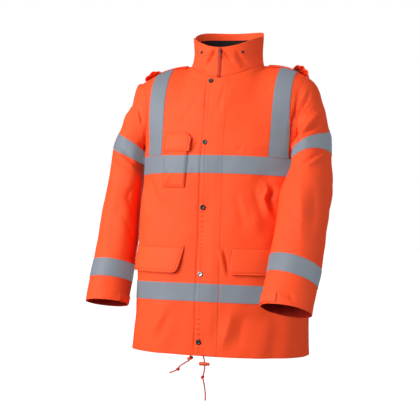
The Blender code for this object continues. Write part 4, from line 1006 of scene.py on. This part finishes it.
def makeShell():
    # the panels' inner faces get the inside colour that is painted shade
    panel = dict(thick=bodyShape["cloth"], finish="shellCloth", held="hung", inner="innerCloth")
    skin, edge = skins[wearerRight, frontFace], 0.0003
    ups, across = skin["rows"].copy(), skin["columns"].copy()
    ups[0], ups[-1] = edge, 2 - 2 * edge
    across[0] = (bodyShape["zipHalf"] + bodyShape["gap"]) / bodyShape["quarter"]
    for side, name in sideName.items():
        points = spots(skins[side, frontFace], ups, across)
        laySheet(f"frontPanel_{name}", f"front_{name}", points, gridNormals(points), restsOn=["collar"],
                 **panel)
        rows = skins[side]["rows"].copy()
        rows[0] = -1 + 0.002
        points = spots(skins[side], rows, skins[side]["columns"])
        normals = gridNormals(points, points - points.mean(axis=1, keepdims=True), wrap=True)
        laySheet(f"sleevePanel_{name}", f"sleeve_{name}", points, normals, restsOn=[f"front_{name}", "back"],
                 wrap=True, **panel)
    halves = [spots(skins[wearerRight, backFace], ups, across[:0:-1]),
              spots(skins[wearerLeft, backFace], ups, np.concatenate([[0], across[1:]]))]
    points = np.concatenate(halves, axis=1)
    laySheet("backPanel", "back", points, gridNormals(points), restsOn=["collar"], **panel)


makeShell()
print("fronts, back and sleeves made")

# The collar and its lining

collarShape = dict(front=0.083, side=0.083, back=0.092, cloth=0.0022, lining=0.0012, lieGap=0.0005,
                   quarter=0.16, liningRows=26)


def collarPoints(side, face, turn, up):
    start = neckPoints(side, face, turn)
    side = collarShape["side"]
    if face == frontFace:
        height = collarShape["front"] + (side - collarShape["front"]) * np.sin(turn * math.pi / 2) ** 2
    else:
        middleTop = bodyShape["neckZ"][backFace] + collarShape["back"]
        height = side + (middleTop - side) * (1 - turn ** 4) - start[:, 2]
    scale = smoothCurve((0, 0.2, 0.45, 0.7, 1), (1, 0.962, 0.948, 0.960, 0.972), up)
    lean = 0.006 * up if face == backFace else -0.001 * up
    return np.stack([start[:, 0] * scale, start[:, 1] * scale - lean * np.cos(turn * math.pi / 2),
                     start[:, 2] + height * up], axis=1)


def collarGrid(ups, startTurn):
    turns = np.linspace(0, 1, 49)
    fronts = startTurn + (1 - startTurn) * turns
    return np.array([np.concatenate([
        collarPoints(wearerRight, frontFace, fronts, up),
        collarPoints(wearerRight, backFace, turns, up)[-2::-1],
        collarPoints(wearerLeft, backFace, turns, up)[1:],
        collarPoints(wearerLeft, frontFace, fronts, up)[-2::-1],
    ]) for up in ups])


def makeCollar():
    fromZip = (bodyShape["zipHalf"] + bodyShape["gap"]) / collarShape["quarter"]
    points = collarGrid(np.linspace(0.003, 1, 33), fromZip)
    flat, normals = points.reshape(-1, 3), gridNormals(points)
    even = smoothStep((abs(flat[:, 0]) - 0.006) / 0.010)  # no creases beside the zip
    shift = gridCreases(points, normals, collarCreases) + unevenShift(flat, 31) * 0.5
    shift *= np.where(flat[:, 1] < 0, even, 1)
    points = points + normals * shift.reshape(*points.shape[:2], 1)
    normals = gridNormals(points)
    laySheet("collarPanel", "collar", points, normals, collarShape["cloth"], "shellCloth", "stretched",
             ["front_right", "front_left", "back"])
    inner, outs = (grid[:collarShape["liningRows"], 1:-1] for grid in (points, normals))
    inner = inner - outs * (collarShape["cloth"] + collarShape["lieGap"])
    laySheet("collarLining", "collar_lining", inner, -outs, collarShape["lining"], "blackLining", "laid",
             ["collar"])
    return points, normals


collarSkin, collarOut = makeCollar()
print("collar made")

# The zip: tape, teeth and the slider's finish

# tooth: how wide, long and high
zipParts = dict(width=0.011, under=0.0002, thick=0.0007, pitch=0.0026, tooth=(0.0030, 0.0013, 0.0011),
                beside=0.0008, sunk=0.0002, bevel=0.00022)


def makeTeeth(line, outs):
    arc, shape, sizes = arcAlong(line), bmesh.new(), zipParts["tooth"]
    for number, at in enumerate(np.arange(0.002, arc[-1] - 0.002, zipParts["pitch"] / 2)):
        middle, ahead = pointsAt(np.array((at, at + 0.002)), arc, line)
        out, along = unit(pointsAt(at, arc, outs)), unit(ahead - middle)
        beside = np.cross(along, out)
        aside = zipParts["beside"] * (1 if number % 2 else -1)
        middle = middle + beside * aside + out * (sizes[2] / 2 - zipParts["sunk"])
        bmesh.ops.create_cube(shape, size=1, matrix=placedShape(middle, (beside, along, out), sizes))
    bmesh.ops.bevel(shape, geom=shape.edges[:], offset=zipParts["bevel"], affect="EDGES", segments=1,
                    profile=0.5, material=-1)
    return adopt(linkPiece("zipTeethRow", shape, "zipTeeth"))


def makeZip():
    half = zipParts["width"] / 2 / bodyShape["quarter"]
    rows = []
    for up in evenSpans((0, 1, 120), (1, 2, 60))[:-1]:
        right, left = (spots(skins[side, frontFace], [up], [half, 0.0])[0] for side in sideName)
        rows.append([right[0], (right[1] + left[1]) / 2, left[0]])
    for up in np.linspace(0, 1, 24):
        right = collarPoints(wearerRight, frontFace, np.array([half * 2, 0.0]), up)
        rows.append([*right, collarPoints(wearerLeft, frontFace, np.array([half * 2]), up)[0]])
    points = np.array(rows)
    normals = gridNormals(points, soften=2)
    points = points - normals * zipParts["under"]
    tape = clothPiece("zipTape", points, normals, zipParts["thick"], "zipCloth", ["zip"])
    teeth = makeTeeth(points[:, 1], normals[:, 1])
    for node in ("zip_slider", "zip_pull"):
        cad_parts[node].material_slots[0].material = finishes["pullPlastic"]


makeZip()
print("zip made")

# The storm flap over the zip

stormFlap = dict(halfWidth=0.031, cloth=0.0016, lieGap=0.0005, edgeRise=0.0010, start=0.003, end=1.975,
                 freeStitch=-0.0185, seamStitch=0.0270, edgeStitch=0.0025, gathers=0.0011, gatherPitch=0.0125,
                 gatherReach=0.006, rollHigh=0.0011, rollWide=0.0022, sway=0.0009, dip=0.0006,
                 dipReach=0.0016)


def flapLevel(distance):
    return stormFlap["lieGap"] + stormFlap["edgeRise"] * smoothStep(-distance / stormFlap["halfWidth"])


def sewnDown(distance):
    # the seam side is sewn into the front, so its face comes down to it slowly, past the zip
    return 1 - 0.93 * smoothStep((distance - 0.007) / (stormFlap["halfWidth"] - 0.007))


def onFrontRow(up, distances):
    right, left = (onBody(side, frontFace, up, distance=abs(distances)) for side in sideName)
    return np.where(distances[:, None] > 0, left, right)


def rowsBetween(points, keys, at):
    # rows of a grid at any places between its own
    at = np.interp(at, keys, np.arange(len(keys)))
    low = at.astype(int).clip(0, len(keys) - 2)
    part = (at - low)[:, None, None]
    return points[low] * (1 - part) + points[low + 1] * part


def makeStormFlap():
    flap, half, free = stormFlap, stormFlap["halfWidth"], stormFlap["freeStitch"]
    distances = np.concatenate([-half + np.array((0, 0.0007, 0.0016)), np.linspace(-half + 0.003, half, 26)])
    ups = evenSpans((flap["start"], 1, 221), (1, flap["end"], 100))
    base = np.array([onFrontRow(up, distances) for up in ups])
    normals = gridNormals(base, soften=3)
    rise = heightUp(ups)
    loose = smoothStep(0.45 + 0.8 * np.sin(rise * 19 + 1.0))
    gathers = np.sin(2 * math.pi * rise / flap["gatherPitch"] + 1.9 * np.sin(rise * 41)) * loose
    gathers = gathers * flap["gathers"] * bell((distances - free + 0.005) / flap["gatherReach"])
    sway = flap["sway"] * np.sin(rise * 31) * smoothStep(-distances / half)
    lift = (flapLevel(distances) + flap["cloth"]) * sewnDown(distances)
    lift = lift - flap["rollHigh"] * (1 - smoothStep((distances + half) / flap["rollWide"]))
    lift = lift - flap["dip"] * bell((distances - free) / flap["dipReach"])
    lift = lift + gathers + sway.clip(-0.0005, None)
    points = base + normals * lift[..., None]
    laySheet("stormFlapPanel", "storm_flap", points, normals, flap["cloth"], "flapCloth", "laid",
             ["front_right", "front_left", "zip"])
    for place in (free, flap["seamStitch"], flap["edgeStitch"] - half):
        line = np.array([pointsAt(place, distances, row) for row in points])
        stitchAlong("stormFlap", line, normals[:, 14])
    return ups, points


flapRows, flapPoints = makeStormFlap()
print("storm flap made")

# Reflective bands and braces

# fromFlap: each end's distance from the storm flap's edge; the right one goes in under its free edge
tapes = dict(tops=dict(chest=-0.266, hip=-0.624), width=0.050, thick=0.0006, lieGap=0.0005,
             fromFlap=(-0.006, 0.0006), upperSwing={wearerRight: (0.0, 0.0), wearerLeft: (0.22, -0.06)},
             braceOver=0.0008, braceInner=0.156, braceSpread=0.005, braceWidth=0.048, stitchIn=0.0025)


def layTape(name, node, base, normals, gap, restsOn, edges=("first", "last"), wrap=False, group=None):
    points = base + normals * (gap + tapes["thick"])
    if wrap:
        points[:, -1] = points[:, 0]
    laySheet(name, node, points, normals, tapes["thick"], "reflectiveTape", "laid", restsOn, wrap)
    stitchEdges(group or name, points, normals, edges, tapes["stitchIn"], "greyThread")


def makeTapesOnFlap():
    for name, top in tapes["tops"].items():
        points = rowsBetween(flapPoints, flapRows, np.linspace(rowOf(top - tapes["width"]), rowOf(top), 11))
        out = gridNormals(points, soften=2)
        points = points + out * (bodyShape["gap"] + tapes["thick"])
        laySheet(f"{name}TapeOnFlap", f"{name}_tape_on_flap", points, out, tapes["thick"], "reflectiveTape",
                 "laid", ["storm_flap"])
        for row, beside in ((0, 1), (-1, -2)):
            line = points[row] + (points[beside] - points[row]) * 0.6
            stitchAlong("tapeOnFlap", line, out[row], "greyThread")


def makeBands():
    right, left = (np.linspace((stormFlap["halfWidth"] + past) / bodyShape["quarter"], 1, 84)
                   for past in tapes["fromFlap"])
    backs = np.linspace(0, 1, 81)
    parts = ((wearerRight, frontFace, right), (wearerRight, backFace, backs[-2::-1]),
             (wearerLeft, backFace, backs[1:]), (wearerLeft, frontFace, left[-2::-1]))
    for name, top in tapes["tops"].items():
        ups = np.linspace(rowOf(top - tapes["width"]), rowOf(top), 11)
        strips = [spots(skins[side, face], ups, columns) for side, face, columns in parts]
        base = np.concatenate(strips, axis=1)
        layTape(f"{name}Band", f"{name}_tape", base, gridNormals(base, soften=2), tapes["lieGap"],
                ["front_right", "front_left", "back"])


def makeBraces():
    low = rowOf(tapes["tops"]["chest"] + 0.0008)
    ups = np.concatenate([[low], np.linspace(1, 2, 66)[1:]])
    shares = np.linspace(0, 1, 11)
    for side, name in sideName.items():
        rows = []
        for face, steps in ((frontFace, ups), (backFace, ups[-2::-1])):
            for up in steps:
                inner = tapes["braceInner"] + tapes["braceSpread"] * (up - low)
                rows.append(onBody(side, face, up, x=inner + tapes["braceWidth"] * shares))
        base = np.array(rows)
        layTape(f"shoulderBrace_{name}", f"brace_{name}", base, gridNormals(base, soften=3),
                tapes["braceOver"], [f"front_{name}", "back"], ("start", "end"), group=f"brace_{name}")


def makeSleeveBands():
    turns = np.linspace(0, 1, 97)
    angle = 2 * math.pi * turns
    for side, name in sideName.items():
        for place, low, (sine, cosine) in (("upper", 0, tapes["upperSwing"][side]), ("lower", 5, (0, 0))):
            sway = sine * np.sin(angle) + cosine * (1 - np.cos(angle)) / 2
            rows = np.linspace(low, low + 1, 11)[:, None] + sway
            base = spot(skins[side], rows.ravel(), np.tile(turns, 11)).reshape(11, 97, 3)
            normals = gridNormals(base, base - base.mean(axis=1, keepdims=True), wrap=True, soften=2)
            layTape(f"sleeveBand_{place}_{name}", f"sleeve_tape_{place}_{name}", base, normals,
                    tapes["lieGap"], [f"sleeve_{name}"], wrap=True, group=f"sleeveBand_{name}")


makeTapesOnFlap()
makeBands()
makeBraces()
makeSleeveBands()
print("reflective tape laid")

# Pockets

chestPocket = dict(slack=((((-144, -115, -338), (-131, -120, -322), (-121, -124, -306)), 5, -3.2),
                          (((-136, -118, -353), (-125, -122, -335), (-118, -125, -320)), 4.5, 3.4)),
                   innerTop=0.0690, innerBottom=0.0770, outer=0.147, top=-0.215, bottom=-0.358, under=0.0016,
                   fullness=0.0032, cloth=0.0014, tapeTop=-0.268,
                   flap=((-0.1990, 0.084, 0.143, 0.0008), (-0.2070, 0.073, 0.144, 0.0036),
                         (-0.2200, 0.062, 0.145, 0.0068), (-0.2560, 0.066, 0.146, 0.0084)))


def makeChestPocket():
    pocket, shares = chestPocket, np.linspace(0, 1, 21)
    zs = np.linspace(pocket["bottom"], pocket["top"], 33)
    inner = np.interp(zs, (pocket["bottom"], pocket["top"]), (pocket["innerBottom"], pocket["innerTop"]))
    base = np.array([onLevel(wearerRight, z, x=start + (pocket["outer"] - start) * shares)
                     for z, start in zip(zs, inner)])
    normals = gridNormals(base, soften=3)
    edgeX = smoothStep(np.minimum(shares / 0.06, (1 - shares) / 0.12))
    edgeZ = smoothStep(np.minimum(zs - zs[0], zs[-1] - zs) / 0.012)[:, None]
    slack = gridCreases(base, normals, pocket["slack"]).reshape(base.shape[:2])
    full = np.maximum(pocket["fullness"] * edgeZ * edgeX + slack, 0)
    points = base + normals * (pocket["under"] + pocket["cloth"] + full)[..., None]
    laySheet("chestPocketPatch", "chest_pocket", points, normals, pocket["cloth"], "shellCloth", "laid",
             ["front_right", "chest_tape"])
    for line in (points[:, 1], points[:, -2], points[1]):
        stitchAlong("chestPocket", line, np.broadcast_to(normals[16, 10], line.shape))
    band = rowsBetween(points, zs, np.linspace(pocket["tapeTop"] - tapes["width"], pocket["tapeTop"], 13))
    layTape("chestPocketBand", "chest_pocket_tape", band, gridNormals(band, soften=2), bodyShape["gap"],
            ["chest_pocket"])
    makeFlap("chestPocketFlap", "chest_pocket_flap", "chest_pocket", wearerRight, pocket["flap"],
             pocket["cloth"], "x")


def makeFlap(name, node, over, side, table, cloth, across="distance"):
    zKeys, *others = np.array(table).T
    shares = evenSpans((0, 0.07, 10), (0.07, 0.93, 26), (0.93, 1, 10))
    zs = zKeys[0] + (zKeys[-1] - zKeys[0]) * shares
    starts, ends, lifts = (np.interp(-zs, -zKeys, other) for other in others)
    base = np.array([onLevel(side, z, **{across: start + (end - start) * shares})
                     for z, start, end in zip(zs, starts, ends)])
    normals = gridNormals(base, soften=3)
    points = base + normals * (lifts + cloth)[:, None, None]
    # a stitched groove runs all round, inside the turned edge
    inwards = np.minimum(shares, 1 - shares)
    beside = inwards * np.linalg.norm(base[:, -1] - base[:, 0], axis=1)[:, None]
    edge = np.minimum(beside, inwards[:, None] * abs(zKeys[-1] - zKeys[0]))
    deep, inside, wide = pocketGroove
    points = points - normals * (deep * bell((edge - inside) / wide))[..., None]
    laySheet(name, node, points, normals, cloth, "flapCloth", "hung", [over])
    stitchEdges(name, points, gridNormals(points, normals), ("start", "end", "last", "first"), 0.0045)


pocketGroove = (0.0013, 0.0050, 0.0020)  # how deep, how far inside the edge, how wide
# each row's z, start and end across, and lift
lowerFlaps = {
    wearerRight: (
        (-0.522, 0.074, 0.262, 0.0007), (-0.534, 0.076, 0.263, 0.0026), (-0.562, 0.082, 0.265, 0.0058),
        (-0.585, 0.089, 0.267, 0.0082), (-0.594, 0.096, 0.268, 0.0088), (-0.598, 0.106, 0.269, 0.0090),
    ),
    wearerLeft: (
        (-0.520, 0.063, 0.252, 0.0007), (-0.532, 0.063, 0.252, 0.0024), (-0.560, 0.064, 0.252, 0.0044),
        (-0.585, 0.065, 0.252, 0.0058), (-0.596, 0.066, 0.252, 0.0062),
    ),
}

makeChestPocket()
for side, name in sideName.items():
    makeFlap(f"lowerPocketFlap_{name}", f"lower_pocket_flap_{name}", f"front_{name}", side,
             lowerFlaps[side], 0.0016)
print("pockets made")

# Shoulder straps and cuff tabs

# loops: each outer end's length, its height and how far it goes past the shoulder's tip
straps = dict(halfWidth=0.017, start=0.122, cloth=0.0016, over=0.0019, toTip=0.001, loopBack=0.02,
              crumple=(0.016, 0.0026), stitchIn=0.0025,
              loops={wearerRight: (0.046, 0.014, 0.001), wearerLeft: (0.041, 0.022, -0.003)})


def overShoulder(side, x, distances):
    # places forwards and backwards of the shoulder's ridge
    points = []
    for distance in distances:
        face = frontFace if distance < 0 else backFace
        line = np.array([onBody(side, face, 2 - drop, x=x) for drop in np.linspace(0, 0.3, 13)])
        points.append(pointsAt(abs(distance), arcAlong(line), line))
    return np.array(points)


def makeStraps():
    columns, shares = np.linspace(-1, 1, 17), np.linspace(0, 1, 37)[1:]
    slope = straps["loopBack"] + (1 - straps["loopBack"]) * (1 - columns) / 2
    arch = np.concatenate([np.zeros(17), (4 * shares * (1 - shares)).clip(0) ** 0.42])
    arch = np.convolve(np.pad(arch, 1, mode="edge"), (0.25, 0.5, 0.25), mode="valid")[:, None]
    arch[-1] = 0
    crumpleSize, crumpleHigh = straps["crumple"]
    for side, (long, high, past) in straps["loops"].items():
        name, reach = sideName[side], bodyShape["tips"][side][0]
        tip, loopStart = reach - straps["toTip"], reach + past - long
        places = np.concatenate([np.linspace(straps["start"], loopStart, 17), loopStart + long * shares])
        base = np.array([overShoulder(side, min(x, tip), straps["halfWidth"] * columns) for x in places])
        base += np.maximum(0, places - tip)[:, None, None] * (side, 0, -0.3)
        normals = gridNormals(base, soften=3)
        crumple = (softWaves(base.reshape(-1, 3), crumpleSize, 31).reshape(base.shape[:2]) - 1) * crumpleHigh
        raised = base + normals * (straps["over"] + np.maximum((high * slope + crumple) * arch, 0))[..., None]
        out = gridNormals(raised, normals)
        points = raised + out * straps["cloth"]
        laySheet(f"shoulderStrap_{name}", f"shoulder_strap_{name}", points, out, straps["cloth"],
                 "flapCloth", "laid", [f"front_{name}", "back"])
        stitchEdges(f"strap_{name}", points, out, ("start", "end"), straps["stitchIn"])


cuffTabs = dict(rows=(7.30, 7.90), over=0.0009, cloth=0.0016, stitchIn=0.003,
                reach={wearerRight: (-0.16, 0.11), wearerLeft: (-0.10, 0.20)})


def makeCuffTabs():
    for side, (start, end) in cuffTabs["reach"].items():
        name = sideName[side]
        base = spots(skins[side], np.linspace(*cuffTabs["rows"], 9), np.linspace(start, end, 31) % 1)
        normals = gridNormals(base, base - sleeveRing(side, 7.5)[0], soften=2)
        points = base + normals * (cuffTabs["over"] + cuffTabs["cloth"])
        laySheet(f"cuffTab_{name}", f"cuff_tab_{name}", points, normals, cuffTabs["cloth"], "flapCloth",
                 "laid", [f"sleeve_{name}"])
        stitchEdges(f"cuff_{name}", points, normals, ("first", "last", "end"), cuffTabs["stitchIn"])


makeStraps()
makeCuffTabs()
print("straps and tabs made")

# Snaps

# worn: the one that has lost its black finish
snaps = dict(heights=(-0.055, -0.230, -0.412, -0.598, -0.787), fromCentre=0.0215, radius=0.0075, high=0.0026,
             hoodRadius=0.0045, hoodHigh=0.0018, hoodTurn=0.41, hoodUp=0.68, worn=4)


def makeCap(name, node, spread, radius, high, finish="snapMetal"):
    # a pressed cap with a rolled rim; spread is the places left, right, below and above it
    shape = bmesh.new()
    profile = ((0, 0.62), (0.30, 0.66), (0.52, 0.80), (0.64, 0.98), (0.74, 1.0), (0.84, 0.90), (0.93, 0.70),
               (0.99, 0.42), (1.0, 0.22), (0.94, 0.0))
    line = [shape.verts.new((radius * r, 0, high * h)) for r, h in profile]
    edges = [shape.edges.new(pair) for pair in zip(line, line[1:])]
    bmesh.ops.spin(shape, geom=line + edges, cent=(0, 0, 0), axis=(0, 0, 1), angle=2 * math.pi, steps=32,
                   use_merge=True)
    bmesh.ops.remove_doubles(shape, verts=shape.verts, dist=1e-7)
    fillEnds(shape, 40)
    bmesh.ops.recalc_face_normals(shape, faces=shape.faces)
    normal = unit(np.cross(spread[0] - spread[1], spread[3] - spread[2]))
    normal = normal if normal[1] < 0 else -normal
    centre = np.mean(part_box(node), axis=0) - normal * high / 2
    turn = Vector((0, 0, 1)).rotation_difference(Vector(normal)).to_matrix().to_4x4()
    bmesh.ops.transform(shape, matrix=Matrix.Translation(centre) @ turn, verts=shape.verts)
    adopt(linkPiece(name, shape, finish), [node])


def placeSnaps():
    around = np.array(((-1, 0), (1, 0), (0, -1), (0, 1)))
    for number, z in enumerate(snaps["heights"], 1):
        spread = [onLevel(wearerRight, z + up, distance=snaps["fromCentre"] + right)
                  for right, up in around * 0.004]
        finish = "paleSnap" if number == snaps["worn"] else "snapMetal"
        makeCap(f"snapCap_{number}", f"snap_{number}", spread, snaps["radius"], snaps["high"], finish)
    for side, name in sideName.items():
        spread = [collarPoints(side, frontFace, np.array([snaps["hoodTurn"] + turn]), snaps["hoodUp"] + up)[0]
                  for turn, up in around * (0.03, 0.05)]
        makeCap(f"hoodSnapCap_{name}", f"hood_snap_{name}", spread, snaps["hoodRadius"], snaps["hoodHigh"])


placeSnaps()
print("snaps made")

# Seams and hems

seams = dict(hemUp=0.022, cuffUp=0.022, besideSeam=0.006, armholeAcross=0.28, cuffRow=0.039)


def stitchSeams():
    up = seams["hemUp"] / bodyShape["heights"][1]
    for side, name in sideName.items():
        for face in (frontFace, backFace):
            skin = skins[side, face]
            line = spots(skin, [up], np.linspace(0.11 if face == frontFace else 0, 0.995, 60))[0]
            stitchAlong("hem", line, outOfBody(line))
            ups = np.linspace(1.02, 1.99, 60)
            edge = spots(skin, ups, [1 - seams["besideSeam"] / seams["armholeAcross"]])[:, 0]
            outs = gridNormals(spots(skin, ups, np.linspace(0.94, 1, 4)))[:, 2]
            stitchAlong(f"armhole_{name}", edge, outs)
        across = 1 - seams["besideSeam"] / bodyShape["quarter"]
        edge = spots(skins[side, backFace], np.linspace(0.002, 0.99, 120), [across])[:, 0]
        stitchAlong("sideSeams", edge, outOfBody(edge))
        ring = spots(skins[side], [8 - seams["cuffUp"] / seams["cuffRow"]], np.linspace(0, 1, 97))[0]
        stitchAlong(f"cuff_{name}", ring, unit(ring - ring.mean(axis=0)))
    for row in (1, -2):
        stitchAlong("collar", collarSkin[row], collarOut[row])


stitchSeams()
makeStitches()
print("stitching done")

# The locks' finish

for name in sideName.values():
    for node in (f"cord_lock_{name}", f"cord_lock_button_{name}"):
        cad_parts[node].material_slots[0].material = finishes["orangePlastic"]

# The studio: a pale floor and soft light

# each light's place, size and power
studio = dict(floorZ=-1.53, ambient=0.20, key=(-1.90, -2.05, 0.30, 2.0, 106),
              top=(-0.90, -1.60, 1.60, 1.6, 18), fill=(2.70, -0.80, 0.40, 1.8, 30),
              back=(-0.80, 2.70, 0.10, 2.2, 70))


def showFloor(lighting, shown, output):
    # one shader lights the jacket, the other is what shows around it
    choose = addNode(output, "MixShader")
    sources = addNode(output, "LightPath").outputs["Is Camera Ray"], lighting.outputs[0], shown.outputs[0]
    for socket, source in zip(choose.inputs, sources):
        plug(socket, source)
    plug(output.inputs[0], choose.outputs[0])


def makeStudio():
    finishes["paleFloor"], shader, place = newFinish("paleFloor")
    tone = mixColours(noiseIn(place, Scale=0.8, Detail=2.0), (0.93, 0.93, 0.93), (0.97, 0.97, 0.97))
    setNode(shader, Base_Color=tone, Roughness=0.9, Emission_Color=(1, 1, 1, 1), Emission_Strength=0.90)
    # the floor throws less light back than it shows
    bounce = addNode(shader, "BsdfDiffuse", Color=(0.30, 0.30, 0.30, 1))
    showFloor(bounce, shader, shader.id_data.nodes["Material Output"])
    shape = bmesh.new()
    bmesh.ops.create_grid(shape, x_segments=8, y_segments=8, size=30)
    bmesh.ops.translate(shape, vec=(0, 0, studio["floorZ"]), verts=shape.verts)
    linkPiece("floor", shape, "paleFloor", smooth=False)
    for name in ("key", "top", "fill", "back"):
        x, y, z, size, power = studio[name]
        light = bpy.data.lights.new(name, "AREA")
        light.size, light.energy = size, power
        lamp = bpy.data.objects.new(name, light)
        lamp.location = (x, y, z)
        lamp.rotation_euler = (Vector((0, 0, -0.40)) - lamp.location).to_track_quat("-Z", "Y").to_euler()
        bpy.context.scene.collection.objects.link(lamp)
    world = bpy.data.worlds.new("studioWorld")
    world.use_nodes = True
    nodes = world.node_tree.nodes
    ambient = setNode(nodes["Background"], Color=(1, 1, 1, 1), Strength=studio["ambient"])
    # what shows behind the jacket is plain white
    showFloor(ambient, addNode(ambient, "Background", Color=(1, 1, 1, 1)), nodes["World Output"])
    bpy.context.scene.world = world
    bpy.context.scene.view_settings.view_transform = "Standard"


makeStudio()
print("studio made")
